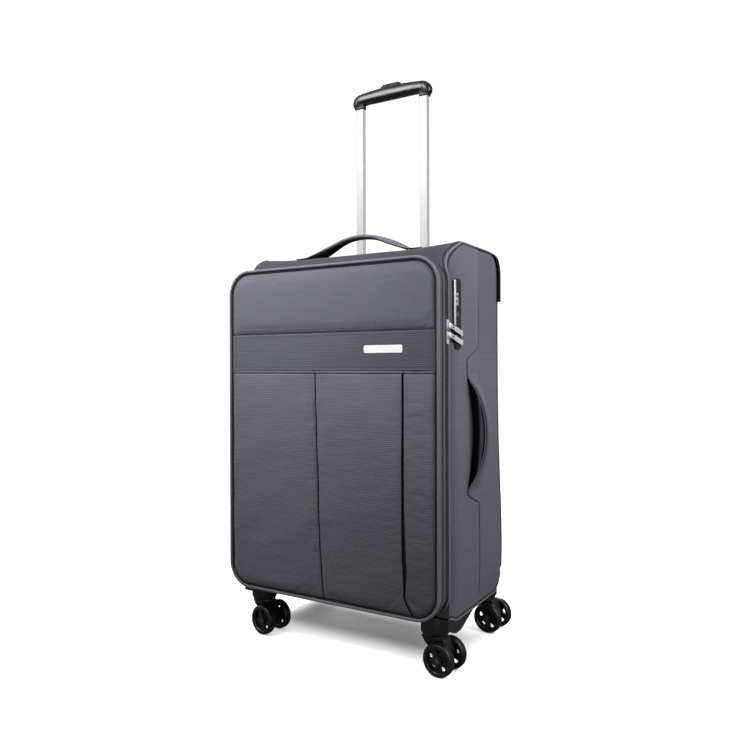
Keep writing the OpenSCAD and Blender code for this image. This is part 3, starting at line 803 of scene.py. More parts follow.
def cut_hinge(v, f, N):
    """takes the hinge stretch out of a lofted tape of four rings and closes the two cut ends"""
    gone = set(np.nonzero(in_hinge(v[:N]))[0].tolist())
    f = [q for q in f if not all((i % N) in gone for i in q)]
    for j in range(N):
        if j in gone and ((j + 1) % N not in gone or (j - 1) % N not in gone):
            f.append([j, N + j, 2 * N + j, 3 * N + j])
    kept = sorted(set(i for q in f for i in q))
    renumber = {old: new for new, old in enumerate(kept)}
    return v[kept], [[renumber[i] for i in q] for q in f]


def zip_half(name, front, rear, coil, body, replaces, inset, tape, hinged):
    """one half of a zip: woven tape from y front to rear, small teeth along its free edge"""
    rings = [lid_ring(y, grow) for y, grow in (
        (front, -inset), (rear, -inset),
        (rear, -inset - TAPE_THICKNESS), (front, -inset - TAPE_THICKNESS))]
    v, f = loft(rings, wrap=True)
    if hinged:
        v, f = cut_hinge(v, f, len(rings[0]))
    mesh_object(name + "_tape", v, f, tape, body, sharp=40, slot="zip_tape", replaces=replaces)
    path = resample(lid_ring(coil, -inset - 0.05, corner=24), TOOTH_PITCH)
    along, normals = outward(path, (0, 1, 0))
    if hinged:
        keep = ~in_hinge(path)
        path, along, normals = path[keep], along[keep], normals[keep]
    v, f = blocks(path, along, normals, TOOTH_SIZE, taper=0.7)
    mesh_object(name + "_coil", v, f, ZIP_COIL, body, sharp=30, slot="zip_tape")


MAIN_ZIP = dict(inset=0.2, tape=GREY_TAPE, hinged=True)
EXPANSION_ZIP = dict(inset=1.7, tape=ZIP_TAPE, hinged=False)
zip_half("main_zip_lid", front=28.5, rear=30.4, coil=30.3, body="lid_frame",
         replaces="zip_lid_half", **MAIN_ZIP)
zip_half("main_zip_body", front=31.6, rear=34.0, coil=31.7, body="case",
         replaces="zip_body_half", **MAIN_ZIP)
zip_half("expansion_zip_front", front=14.8, rear=16.1, coil=15.8, body="lid_front",
         replaces="expansion_zip_front", **EXPANSION_ZIP)
zip_half("expansion_zip_rear", front=16.9, rear=18.2, coil=17.2, body="lid_frame",
         replaces="expansion_zip_rear", **EXPANSION_ZIP)
for name, front, rear, body in (("lid", 26.6, 28.6, "lid_frame"), ("body", 33.7, 35.6, "case")):
    lid_band("zip_shadow_gap_" + name,
             ((front, -1.5), (rear, -1.5), (rear, -3.3), (front, -3.3)),
             SEAM_SHADOW, body, sharp=40, slot="trim_fabric")


# ------------------------------------------------------------------ hinge and expansion cloth
def hinge():
    """fabric strip on the left side, from the lid ring to the body"""
    front, rear = 27.2, 35.0
    ys = np.linspace(front, rear, 9)
    zs = np.linspace(HINGE_Z[0] + 2, HINGE_Z[1] - 2, 60)
    ny, nz = len(ys), len(zs)
    layer = ny * nz
    v, f = [], []
    for offset, bow in ((0.35, 0.5), (-1.3, 0.0)):
        for z in zs:
            for y in ys:
                arch = bow * math.sin((y - front) / (rear - front) * math.pi)
                v.append((-LID_HALF - offset - arch, y, z))
    for k in range(2):
        for i in range(nz - 1):
            for j in range(ny - 1):
                a = k * layer + i * ny + j
                f.append([a, a + 1, a + ny + 1, a + ny])
    for i in range(nz - 1):
        for j in (0, ny - 1):
            a = i * ny + j
            f.append([a, a + ny, layer + a + ny, layer + a])
    for j in range(ny - 1):
        for i in (0, nz - 1):
            a = i * ny + j
            f.append([a, a + 1, layer + a + 1, layer + a])
    strip = mesh_object("hinge_fabric", v, f, SIDE_FABRIC, None, sharp=60, slot="trim_fabric",
                        replaces="hinge_strip")
    tuple(to_row((-LID_HALF, 28.2, 360)))
    tuple(to_row((-LID_HALF, 33.8, 360)))
    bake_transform(strip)


hinge()

# folded cloth of the expansion, hidden while its zip is closed
EXPANSION_PROFILE = (
    (14.9, -2.9), (15.6, -6.0), (16.5, -8.0), (17.4, -6.0), (18.1, -2.9),
    (18.1, -3.5), (17.4, -6.9), (16.5, -8.9), (15.6, -6.9), (14.9, -3.5))
expansion = lid_band("expansion_gusset", EXPANSION_PROFILE, FRONT_FABRIC, None, sharp=60,
                     slot="case_fabric")
tuple(to_row((0, 14.9, 360)))
tuple(to_row((0, 18.1, 360)))
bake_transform(expansion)


# ------------------------------------------------------------------ front panel helpers
def panel_half_width(z):
    """half width of the front panels at height z"""
    r = PANEL_RADIUS
    z = np.asarray(z, float)
    up = np.clip(z - (PANEL_TOP - r), 0, r)
    down = np.clip((PANEL_BOTTOM + r) - z, 0, r)
    return PANEL_HALF - r + np.sqrt(np.maximum(r * r - np.maximum(up, down) ** 2, 0))


def edge_distance(X, Z):
    """distance of a point inwards from the outline of the front panels"""
    out = np.minimum(panel_half_width(Z) - np.abs(X), np.minimum(PANEL_TOP - Z, Z - PANEL_BOTTOM))
    r = PANEL_RADIUS
    centre_x = PANEL_HALF - r
    for centre_z, sign in ((PANEL_TOP - r, 1), (PANEL_BOTTOM + r, -1)):
        corner = (np.abs(X) > centre_x) & ((Z - centre_z) * sign > 0)
        out = np.where(corner, r - np.hypot(np.abs(X) - centre_x, Z - centre_z), out)
    return np.maximum(out, 0)


def grid_quads(index):
    """faces over a grid of vertex numbers"""
    return np.stack([index[:-1, :-1], index[:-1, 1:], index[1:, 1:], index[1:, :-1]],
                    -1).reshape(-1, 4)


CLOTH_FRAMES = 18
CLOTH = dict(quality=6, mass=0.25, tension_stiffness=25, compression_stiffness=25,
             shear_stiffness=10, bending_stiffness=0.8, vertex_group_mass="pin",
             shrink_min=-0.012)
CLOTH_GRAVITY = (0, -2.2, -0.6)       # light forward push and a little weight


def cloth_sheet(name, X, Z, pinned, limit):
    """hangs a woven sheet between its pinned seams and returns how far it moved along y"""
    nz, nx = X.shape
    rest = np.stack([X, np.zeros_like(X), Z], -1)
    mesh = bpy.data.meshes.new(name)
    faces = grid_quads(np.arange(nz * nx).reshape(nz, nx))
    mesh.from_pydata((rest.reshape(-1, 3) * MM).tolist(), [], faces.tolist())
    sheet = bpy.data.objects.new(name, mesh)
    scene.collection.objects.link(sheet)
    group = sheet.vertex_groups.new(name="pin")
    group.add([int(i) for i in np.nonzero(pinned.reshape(-1))[0]], 1.0, "REPLACE")
    cloth = sheet.modifiers.new("c", "CLOTH")
    for key, value in CLOTH.items():
        setattr(cloth.settings, key, value)
    cloth.settings.effector_weights.gravity = 1.0
    usual_gravity = tuple(scene.gravity)
    scene.gravity = CLOTH_GRAVITY
    cloth.point_cache.frame_start = 1
    cloth.point_cache.frame_end = CLOTH_FRAMES + 1
    scene.frame_start, scene.frame_end = 1, CLOTH_FRAMES + 1
    for k in range(1, CLOTH_FRAMES + 1):
        scene.frame_set(k)
    settled = sheet.evaluated_get(bpy.context.evaluated_depsgraph_get())
    places = np.zeros(nz * nx * 3, np.float32)
    settled.data.vertices.foreach_get("co", places)
    moved = places.reshape(nz, nx, 3).astype(float) / MM - rest
    bpy.data.objects.remove(sheet)
    scene.gravity = usual_gravity
    scene.frame_set(1)
    length = np.linalg.norm(moved, axis=-1)
    return moved[..., 1] * np.where(length > limit, limit / np.maximum(length, 1e-9), 1)


def cloth_field(name, z0, z1, pins, limit, nx, nz):
    """runs the cloth on an even grid and returns a function for the y movement at any (x, z)"""
    zs = np.linspace(z0, z1, nz)
    X = np.linspace(-1, 1, nx)[None] * panel_half_width(zs)[:, None]
    Z = np.repeat(zs[:, None], nx, 1)
    dy = cloth_sheet(name, X, Z, pins(X, Z), limit)

    def movement(x, z):
        u = np.clip((x / panel_half_width(z) + 1) / 2 * (nx - 1), 0, nx - 1.001)
        t = np.clip((z - z0) / (z1 - z0) * (nz - 1), 0, nz - 1.001)
        i, k = u.astype(int), t.astype(int)
        a, b = u - i, t - k
        return (dy[k, i] * (1 - a) * (1 - b) + dy[k, i + 1] * a * (1 - b)
                + dy[k + 1, i] * (1 - a) * b + dy[k + 1, i + 1] * a * b)
    return movement


def slab(name, X, Y, Z, material, replaces):
    """closed slab from a front grid and a flat back"""
    nz, nx = X.shape
    count = nz * nx
    front = np.stack([X, Y, Z], -1).reshape(-1, 3)
    back = np.stack([X, np.full_like(X, PANEL_REAR_Y), Z], -1).reshape(-1, 3)
    index = np.arange(count).reshape(nz, nx)
    quads = grid_quads(index)
    faces = quads.tolist() + (quads[:, ::-1] + count).tolist()
    rim = np.r_[index[0, :], index[1:, -1], index[-1, -2::-1], index[-2:0:-1, 0]]
    for a, b in zip(rim, np.roll(rim, -1)):
        faces.append([int(a), int(b), int(b) + count, int(a) + count])
    return mesh_object(name, np.vstack([front, back]), faces, material, "lid_front", sharp=70,
                       slot="case_fabric", replaces=replaces)


def puff(distance, height, width):
    return height * (1 - np.exp(-distance / width))


def ridge(offset, width):
    return np.exp(-(offset / width) ** 2)


# ------------------------------------------------------------------ lower pocket
# each line is a row of z and a row of x or width at those heights
LEFT_SEAM = ((92, 98.6, 190, 463), (-4.6, -4.9, -11.6, -20.6))
PLEAT_EDGE = (      # folded edge of the middle field
    (92, 96, 100.5, 111, 123, 134, 149, 164, 179, 240, 300, 463),
    (158.5, 156, 153.7, 147.3, 143.3, 142.9, 142.4, 141.8, 140.3, 139.6, 139.6, 140.3))
PLEAT_WIDTH = (     # width of the open fold to the right of it
    (92, 111, 123, 134, 149, 164, 179, 240, 300, 463),
    (3.2, 3.2, 2.1, 2.9, 5.0, 6.6, 6.6, 4.4, 3.8, 2.7))
# heights close together across the hem groove
HEM_Z = (459.0, 460.2, 460.55, 460.7, 461.1, 461.5, 461.65, 462.2, 463.4, 464.6, 465.4)
SEAM_COLUMNS = np.array([-1.6, -1.1, -0.85, -0.8, 0, 0.8, 0.85, 1.1, 1.6])
TUCK_START, TUCK_RUN = (146, 119), (24, -19)      # x, z of the small tuck and its direction


def pocket_pins(x, z):
    return ((np.abs(x - np.interp(z, *LEFT_SEAM)) < 1.9)
            | (np.abs(x - np.interp(z, *PLEAT_EDGE)) < 1.9)
            | (edge_distance(x, z) < 1.0) | (z > BAND_BOTTOM - 6))


def lower_pocket():
    z_low = PANEL_BOTTOM + 0.2
    zs = np.r_[np.linspace(z_low, 99, 4)[:-1], np.linspace(99, 457, 150), HEM_Z]
    seam, edge, gap = (np.interp(zs, *line) for line in (LEFT_SEAM, PLEAT_EDGE, PLEAT_WIDTH))
    half = panel_half_width(zs)
    X = np.concatenate([
        np.linspace(-half, seam - 1.6, 66).T[:, :-1],
        seam[:, None] + SEAM_COLUMNS,
        np.linspace(seam + 1.6, edge - 2.2, 74).T[:, 1:-1],
        edge[:, None] + np.array([-2.2, -1.2, -0.5, -0.1]),
        edge[:, None] + gap[:, None] * np.array([0.0, 0.33, 0.66, 0.96]) + np.array([0.02, 0, 0, 0]),
        (edge + gap)[:, None] + np.array([0.05, 0.9, 2.2]),
        np.linspace(edge + gap + 2.2, half, 26).T[:, 1:]], 1)
    nx = X.shape[1]
    Z, seam, edge, gap, half = (np.repeat(q[:, None], nx, 1) for q in (zs, seam, edge, gap, half))
    from_seam, past_edge = np.abs(X - seam), X - edge
    from_rim = edge_distance(X, Z)
    right = past_edge >= gap
    hang = cloth_field("sim_lower", z_low, BAND_BOTTOM, pocket_pins, 5.0, 130, 120)(X, Z)

    # three fields that swell between the seams
    Y = 2.4 - puff(from_rim, 2.4, 3.5)
    left_swell = 1.6 * np.sin(np.pi * np.clip((X + half) / (seam + half), 0, 1)) * (X < seam)
    middle_swell = (2.0 * np.sin(np.pi * np.clip((X - seam) / (edge - seam), 0, 1))
                    * ((X >= seam) & (past_edge < 0)))
    right_width = np.maximum(half - edge - gap, 1)
    right_swell = (1.3 * np.sin(np.pi * np.clip((past_edge - gap) / right_width, 0, 1))
                   * (past_edge >= 0))
    ends = (np.clip((BAND_BOTTOM - Z) / 50, 0, 1) ** 0.6
            * np.clip((Z - LID_BOTTOM) / 60, 0, 1) ** 0.6)
    Y -= (left_swell + middle_swell + right_swell) * ends
    Y += 0.7 * flat_noise(X, Z * 1.2, 3, 150) + 0.16 * flat_noise(X, Z * 2, 4, 50)
    # soft upright folds, strongest near the seams
    near = (0.45 + 0.55 * np.exp(-np.minimum(from_seam, np.abs(past_edge)) / 30)
            + 0.5 * np.exp(-from_rim / 30))
    Y += (0.95 * near * flat_noise(X * 2.6, Z * 0.42, 8, 150) * np.clip(from_rim / 12, 0, 1)
          * np.clip(from_seam / 8, 0, 1) * np.clip(np.abs(past_edge) / 8, 0, 1))
    Y += np.clip(hang, -4.5, 1.0) * 0.65 * np.clip((BAND_BOTTOM - Z) / 60, 0, 1)
    # pressed seam on the left
    Y += 1.1 * np.exp(-np.maximum(from_seam - 0.85, 0) / 1.1)
    # folded edge of the middle field, then the right field coming out from under it
    lift = 0.5 + 0.9 * (1 - smooth(170, 420, Z))
    Y += np.where(past_edge < 0, -lift * np.exp(np.minimum(past_edge, 0) / 5.0)
                  + 0.9 * ridge(past_edge + 0.1, 0.5), 0)
    Y += np.where(right, 1.5 * np.exp(-np.maximum(past_edge - gap, 0) / 6.0), 0)
    # small tuck at the foot of the fold
    (start_x, start_z), (run_x, run_z) = TUCK_START, TUCK_RUN
    run = math.hypot(run_x, run_z)
    along = ((X - start_x) * run_x + (Z - start_z) * run_z) / run
    across = ((Z - start_z) * run_x - (X - start_x) * run_z) / run
    Y -= 1.3 * ridge(across, 3.0) * smooth(-1, 5, along) * (1 - smooth(18, 30, along)) * right
    # soft pleats in the right field
    Y += (0.5 * np.sin((past_edge - gap) / 9.0 + 0.01 * Z) * np.clip((past_edge - gap) / 10, 0, 1)
          * np.clip(from_rim / 14, 0, 1) * (past_edge > gap))
    # pocket hem under the band
    Y += 0.8 * ridge(Z - 460.2, 1.2)
    # seam, open fold and hem groove lie deep and take the near-black painted seam shadow
    deep = ((from_seam <= 0.81) | ((past_edge > 0.0) & (past_edge <= gap * 0.97))
            | ((Z > 460.6) & (Z < 461.6))) & ~(Z > 461.6)
    pocket = slab("lower_pocket_fabric", X, np.where(deep, 3.3, np.minimum(Y, 3.2)), Z,
                  FRONT_FABRIC, "lower_pocket")
    # faces in the deep places get the painted seam shadow
    pocket.data.materials.append(SEAM_SHADOW)
    mark = deep.astype(int)
    corners = (mark[:-1, :-1] + mark[1:, :-1] + mark[:-1, 1:] + mark[1:, 1:]).reshape(-1)
    for q in pocket.data.polygons[:len(corners)]:
        if corners[q.index] >= 2:
            q.material_index = 1


lower_pocket()


# ------------------------------------------------------------------ band and upper panel
def front_panel(name, z0, z1, rows, base, height, full, crease, seed, material, replaces, shape,
                hung=False):
    """panel across the lid: base is y at its rim, height and full are how far it swells"""
    columns = 150
    zs = np.linspace(z0, z1, rows)
    X = np.linspace(-1, 1, columns)[None] * panel_half_width(zs)[:, None]
    Z = np.repeat(zs[:, None], columns, 1)
    from_rim = edge_distance(X, Z)
    Y = base - puff(from_rim, height, 4)
    if hung:
        def pins(x, z):
            return (edge_distance(x, z) < 1.2) | (z - z0 < 3.0)
        Y += np.clip(cloth_field("sim_" + name, z0, z1, pins, 4.0, 110, 60)(X, Z), -4, 1) * 0.75
    Y -= full * np.sin(np.pi * np.clip((Z - z0) / (z1 - z0), 0, 1)) * np.clip(from_rim / 30, 0, 1)
    Y += crease * flat_noise(X * 1.4, Z, seed, 150) * np.clip(from_rim / 14, 0, 1)
    Y += shape(Z)
    slab(name, X, np.minimum(Y, 3.7), Z, material, replaces)


BAND_Z = (BAND_BOTTOM - 0.2, BAND_TOP + 0.8)


def band_shape(Z):
    """turned hem near the lower edge, rolled upper edge"""
    up, down = Z - BAND_Z[0], BAND_Z[1] - Z
    return (ridge(up, 0.8) - 0.5 * ridge(up - 2.2, 1.0) + 0.5 * ridge(up - 4.6, 0.8)
            + 1.4 * ridge(down, 1.0) - 0.4 * ridge(down - 3.0, 1.6))


def upper_shape(Z):
    """the upper panel runs in under the rolled edge of the band"""
    return 3.2 * np.exp(-np.maximum(Z - BAND_TOP, 0) / 2.6)


front_panel("badge_band_fabric", *BAND_Z, rows=60, base=1.6, height=1.6, full=0.5, crease=0.2,
            seed=21, material=BAND_FABRIC, replaces="badge_band", shape=band_shape)
front_panel("upper_panel_fabric", BAND_TOP + 0.2, PANEL_TOP - 0.2, rows=80, base=2.4, height=2.6,
            full=1.4, crease=0.6, seed=22, material=UPPER_FABRIC, replaces="upper_panel",
            shape=upper_shape, hung=True)


# ------------------------------------------------------------------ linings
def lining(name, half, z0, z1, radius, y, body, seed, bow, side):
    """loose lining sheet with a hemmed edge; side is the way it faces along y"""
    nx, nz = 70, 90
    u, t = np.meshgrid(np.linspace(0, 1, nx), np.linspace(0, 1, nz))
    width, height = 2 * half, z1 - z0
    Z = z0 + height * t
    cut = np.zeros_like(Z)
    for centre, sign in ((z0 + radius, -1), (z1 - radius, 1)):
        k = np.clip((Z - centre) * sign, 0, radius)
        rounded = radius - np.sqrt(np.maximum(radius * radius - k * k, 0))
        cut = np.where((Z - centre) * sign > 0, rounded, cut)
    X = (cut - half) + (width - 2 * cut) * u
    from_edge = np.minimum.reduce([u * width, (1 - u) * width, t * height, (1 - t) * height])
    loose = np.clip(from_edge / 40, 0, 1)
    rise = (bow * loose + 1.1 * flat_noise(X, Z * 0.35, seed, 60) * loose
            + 0.5 * flat_noise(X, Z, seed + 1, 22) * loose)
    rise += 0.9 * np.exp(-np.minimum(from_edge, 8) / 2.5)
    face = np.c_[X.ravel(), (y + side * rise).ravel(), Z.ravel()]
    rear = face.copy()
    rear[:, 1] = y - side * 1.2
    n = nx * nz
    f = []
    for i in range(nz - 1):
        for k in range(nx - 1):
            a = i * nx + k
            f.append((a, a + 1, a + nx + 1, a + nx))
            f.append((n + a, n + a + nx, n + a + nx + 1, n + a + 1))
    index = np.arange(n).reshape(nz, nx)
    rim = np.r_[index[0, :], index[1:, -1], index[-1, -2::-1], index[-2:0:-1, 0]]
    for a, b in zip(rim, np.roll(rim, -1)):
        f.append((a, n + a, n + b, b))
    mesh_object(name, np.r_[face, rear], f, LINING, body, sharp=60, slot="trim_fabric")


lining("back_lining", half=190, z0=94, z1=655, radius=22, y=209, body="case", seed=51, bow=2.2,
       side=-1)
lining("lid_lining", half=192, z0=100, z1=627, radius=34, y=12.6, body="lid_front", seed=53,
       bow=0.6, side=1)
# binding round the pocket rectangle in the lid: (x, z) to (x, z)
POCKET_BINDING = (((-170, 330), (170, 330)), ((-170, 130), (-170, 330)),
                  ((170, 130), (170, 330)), ((-170, 130), (170, 130)))
for k, ((xa, za), (xb, zb)) in enumerate(POCKET_BINDING):
    cord("lid_pocket_binding_%d" % k, np.linspace((xa, 14.2, za), (xb, 14.2, zb), 40), 0.9,
         ZIP_TAPE, "lid_front", closed=False, sides=6, slot="zip_tape")


# ------------------------------------------------------------------ straps and stitching
def stitches(name, path, normal, pitch, size, closed=False):
    p = resample(path, pitch, closed)
    normals = np.repeat(np.asarray(normal, float)[None], len(p), 0)
    v, f = blocks(p, tangents(p, closed), normals, size, taper=0.6)
    mesh_object(name, v, f, THREAD, "case", sharp=40, slot="trim_fabric")


def strap(name, centre, across, out, width, thick, material, slot, crown=0.0, replaces=None):
    """flat strap along a centre line; width, thickness and crown are per point"""
    crown = np.broadcast_to(crown, len(centre))
    rings = []
    for i in range(len(centre)):
        half = width[i] / 2
        section = superellipse(half, thick[i] / 2, 28, 3.6)
        section[:, 1] += crown[i] * (1 - (section[:, 0] / half) ** 2)
        rings.append(centre[i] + section[:, 0:1] * across[i] + section[:, 1:2] * out[i])
    v, f = loft(rings, capped=True)
    mesh_object(name, v, f, material, "case", sharp=60, slot=slot, replaces=replaces)


# ------------------------------------------------------------------ top handle
def top_handle():
    """flat and wide where it is sewn on, rolled narrow in the middle"""
    y = 112.5
    base_z = 667.9
    x = np.r_[np.linspace(-126, -100, 7)[:-1], np.linspace(-100, 100, 61),
              np.linspace(100, 126, 7)[1:]]
    reach = np.abs(x)
    top = np.interp(reach, [0, 16, 30, 43.5, 56, 70, 84, 95, 104, 130],
                    [702.3, 701.3, 698.8, 695.2, 690.8, 685.2, 678.4, 672.2, 668.6, base_z])
    width = np.interp(reach, [0, 25, 45, 62, 78, 92, 126], [17, 18, 22, 29, 38, 42, 42])
    thick = np.interp(reach, [0, 30, 60, 85, 126], [5.4, 4.8, 3.4, 2.4, 2.2])
    crown = np.interp(reach, [0, 30, 45, 62, 84, 98, 126], [0.8, 1.6, 3.6, 5.6, 4.6, 0.8, 0.0])
    soften((top, width, thick, crown), passes=4)
    centre = np.c_[x, np.full(len(x), y), top - thick / 2 - crown]
    across = np.repeat([[0, 1.0, 0]], len(x), 0)
    out = np.cross(tangents(centre, False), across)
    out *= np.sign(out[:, 2:3])
    strap("top_handle_strap", centre, across, out, width, thick, STRAP, "trim_fabric",
          crown=crown, replaces="top_handle")
    k = reach < 84
    strap("top_handle_underside", centre[k] - out[k] * (thick[k] / 2 + 0.5)[:, None], across[k],
          out[k], width[k] - 2.0, np.full(k.sum(), 2.2), UNDERSIDE, "grip_rubber",
          crown=crown[k])
    # a stitched box with a cross at each end
    for side, label in ((-1, "l"), (1, "r")):
        x0, x1, y0, y1 = side * 99, side * 121, y - 17, y + 17
        lines = (((x0, y0), (x1, y0)), ((x1, y0), (x1, y1)), ((x1, y1), (x0, y1)),
                 ((x0, y1), (x0, y0)), ((x0, y0), (x1, y1)), ((x0, y1), (x1, y0)))
        for i, (start, end) in enumerate(lines):
            stitches("top_handle_stitch_%s_%d" % (label, i), [(*start, base_z), (*end, base_z)],
                     (0, 0, 1), pitch=2.8, size=(1.9, 0.6, 0.5))
    # rows along both edges
    k = slice(6, -6)
    for i, side in enumerate((-1, 1)):
        lift = thick[k] / 2 - 0.05 + crown[k] * (1 - (1 - 4.4 / width[k]) ** 2)
        path = centre[k] + across[k] * (side * (width[k] / 2 - 2.2))[:, None]
        stitches("top_handle_edge_stitch_%d" % i, path + out[k] * lift[:, None], (0, 0, 1),
                 pitch=3.2, size=(2.0, 0.5, 0.4))


top_handle()


# ------------------------------------------------------------------ side handle
def patch(name, corners):
    """flat sewn patch on the right side panel from (y, z) corners"""
    rise = 2.2
    corners = np.array(corners, float)
    rim = resample(np.c_[np.zeros(len(corners)), corners], 2.5)[:, 1:]

    def on_panel(inset, lift):
        away = rim - rim.mean(0)
        points = rim.mean(0) + away * (1 - inset / np.linalg.norm(away, axis=1)[:, None])
        return np.c_[[crowned_x(y, z) + lift for y, z in points], points]

    profile = ((0, -1.0), (0, rise - 0.5), (0.25, rise - 0.15), (0.8, rise), (4, rise + 0.1))
    v, f = loft([on_panel(inset, lift) for inset, lift in profile], capped=True)
    mesh_object(name, v, f, STRAP, "case", sharp=50, slot="trim_fabric")
    # mid-dark cord of painted shade round the foot of the patch
    cord(name + "_edge", on_panel(0, 0.5), 0.5, SOFT_SEAM_SHADOW, "case", sides=6, axis=(1, 0, 0),
         slot="trim_fabric")
    stitches(name + "_stitch", on_panel(3.4, rise + 0.05), (1, 0, 0), pitch=3.0,
             size=(2.0, 0.6, 0.45), closed=True)


def side_handle():
    middle_z, radius = 364.5, 150.5
    arc_x = LID_HALF + 35.6 - radius
    z = middle_z + np.linspace(-98, 98, 75)
    up = z - middle_z
    reach = np.abs(up)
    x = np.maximum(arc_x + np.sqrt(np.maximum(radius * radius - up * up, 0)), LID_HALF + 5.0)
    y = np.interp(reach, [0, 45, 62, 80, 88, 112], [118, 118.5, 119, 120.5, 122, 126])
    width = np.interp(reach, [0, 42, 58, 72, 82, 90, 98], [13.5, 14, 17.5, 25, 33, 38, 40])
    thick = np.interp(reach, [0, 45, 65, 85, 98], [6.2, 5.8, 4.6, 3.2, 1.6])
    soften((x, y, width, thick), passes=3)
    across = np.repeat([[0, 1.0, 0]], len(z), 0)
    centre = np.c_[x - thick / 2, y, z]
    out = np.cross(across, tangents(centre, False))
    out *= np.sign(out[:, 0:1])
    strap("side_handle_strap", centre, across, out, width, thick, STRAP, "trim_fabric",
          replaces="side_handle")

    def edge_path(k, side, inset, lift):
        return (centre[k] + across[k] * (side * (width[k] / 2 - inset))[:, None]
                + out[k] * lift[:, None])

    for i, side in enumerate((-1, 1)):
        k = slice(8, -8)
        stitches("side_handle_edge_stitch_%d" % i, edge_path(k, side, 1.9, thick[k] / 2 - 0.05),
                 (1, 0, 0), pitch=3.0, size=(2.0, 0.55, 0.4))
    k = slice(2, -2)
    cord("side_handle_binding", edge_path(k, -1, 0.1, 0.6 - thick[k] / 2), 0.55, BINDING, "case",
         closed=False, sides=6, slot="trim_fabric")

    def under(name, k, depth, narrower, thickness, material, slot, replaces=None):
        """layer on the inner face of the strap"""
        strap(name, centre[k] - out[k] * (thick[k] / 2 + depth)[:, None], across[k], out[k],
              width[k] - narrower, thickness, material, slot, replaces=replaces)

    # the roll in the middle: dark core and the fabric turned round it
    k = reach < 56
    taper = np.clip((57 - reach[k]) / 14, 0.12, 1)
    under("side_handle_core", k, 1.5 * taper, 3.0, 3.6 * taper, UNDERSIDE, "grip_rubber",
          replaces="side_handle_grip")
    k = reach < 48
    taper = np.clip((49 - reach[k]) / 12, 0.15, 1)
    under("side_handle_roll", k, 4.4 * taper, 0.5, 3.6 * taper, STRAP, "trim_fabric")
    # near-black layer under the two sloping arms, put there as painted shade
    for side, label in ((-1, "b"), (1, "t")):
        k = (up * side > 44) & (up * side < 92)
        under("side_handle_shade_layer_" + label, k, 0.3, 2.0, np.full(k.sum(), 1.4), UNDERSIDE,
              "grip_rubber")
    patch("side_handle_patch_top", [(103.7, 452), (101.2, 480), (104, 483.5), (147, 500.5),
                                    (150.8, 499), (150.8, 452)])
    patch("side_handle_patch_bottom", [(112.0, 277), (150.8, 281), (150.8, 249), (148.5, 248.5),
                                       (113, 262), (110.9, 265)])


side_handle()


# ------------------------------------------------------------------ side hems and seams
def side_hem(side, name):
    """the side panel runs down past the rounded floor edge to a corded hem"""
    rings, low, middle = [], [], []
    for y in np.r_[np.linspace(36.5, 214, 46),
                   214 + 37.2 * np.sin(np.linspace(0.06, math.pi / 2, 16))]:
        half, floor, _, r = body_station(y)
        hem = floor - 3.2 * float(smooth(50, 70, y)) * float(1 - smooth(222, 240, y))
        crown = CROWN * depth_fade(y) * math.sin(math.pi / 2 * 0.2)
        profile = (   # x, z down the outside and back up inside the corner
            (half - 1.5, floor + r + 5), (half + crown + 0.15, floor + r + 4),
            (half + 0.7, hem + 6), (half + 0.75, hem + 0.5), (half - 1.0, hem + 0.2),
            (half - r, floor + 0.3), (half - 0.293 * r - 1.6, floor + 0.293 * r + 1.6))
        rings.append([(side * x, y, z) for x, z in profile])
        low.append((side * (half + 0.3), y, hem + 0.2))
        middle.append((side * (half + 1.0), y, hem + 3.6))
    v, f = loft(rings, capped=True)
    mesh_object("side_hem_" + name, v, f, SIDE_FABRIC, "case", sharp=50, slot="case_fabric",
                packed=True)
    cord("side_hem_cord_" + name, low, 2.0, PIPING, "case", closed=False, axis=(1, 0, 0),
         slot="case_fabric", packed=True)
    # near-black cord of painted seam shadow above the hem cord
    cord("side_hem_seam_shadow_" + name, middle, 0.9, SEAM_SHADOW, "case", closed=False, sides=6,
         axis=(1, 0, 0), slot="trim_fabric", packed=True)


def side_seam(side, name):
    """upright seam in a side panel, along the rear edges of the handle patches"""
    # the low and middle parts are mid-dark cords of painted seam shadow, left out where the painted
    # handle shadow lies; the high part is plain side fabric
    for part, z0, z1, material in (("low", 98, 300, SOFT_SEAM_SHADOW), ("mid", 428, 500, SOFT_SEAM_SHADOW),
                                   ("high", 500, 652, SIDE_FABRIC)):
        zs = np.linspace(z0, z1, 60)
        ys = SEAM_Y - 0.2 - 3.5 * smooth(560, 650, zs)
        xs = [side * (crowned_x(y, z) - 0.25) for y, z in zip(ys, zs)]
        cord("side_seam_%s_%s" % (name, part), np.c_[xs, ys, zs], 0.7, material, "case",
             closed=False, sides=6, slot="trim_fabric", packed=True)


for side, name in SIDES:
    side_hem(side, name)
for side, name in SIDES:
    side_seam(side, name)


def lock_strip():
    """bright strip along the lock"""
    low, high = (LID_HALF + 3.4, 48.8, 535.0), (LID_HALF + 5.6, 54.3, 604.6)
    v = [(x, y, z) for z in (low[2], high[2]) for y in (low[1], high[1]) for x in (low[0], high[0])]
    f = [(0, 2, 3, 1), (4, 5, 7, 6), (0, 1, 5, 4), (1, 3, 7, 5), (3, 2, 6, 7), (2, 0, 4, 6)]
    strip = mesh_object("lock_bright_strip", v, f, BRIGHT, "case", slot="zip_metal")
    bevel = strip.modifiers.new("b", "BEVEL")
    bevel.width = 0.8 * MM
    bevel.segments = 3


lock_strip()

# ------------------------------------------------------------------ trolley grip
GRIP_Y = 225.0
GRIP_NECK = (   # x, z, half size in the arch plane, half depth along y
    (-68.6, 967.6, 9.3, 6.9), (-68.7, 968.2, 9.6, 7.2), (-69.0, 970.5, 9.9, 7.5),
    (-69.5, 973.5, 11.0, 8.4), (-70.3, 976.3, 12.5, 9.4), (-70.8, 979, 13.4, 10.3))


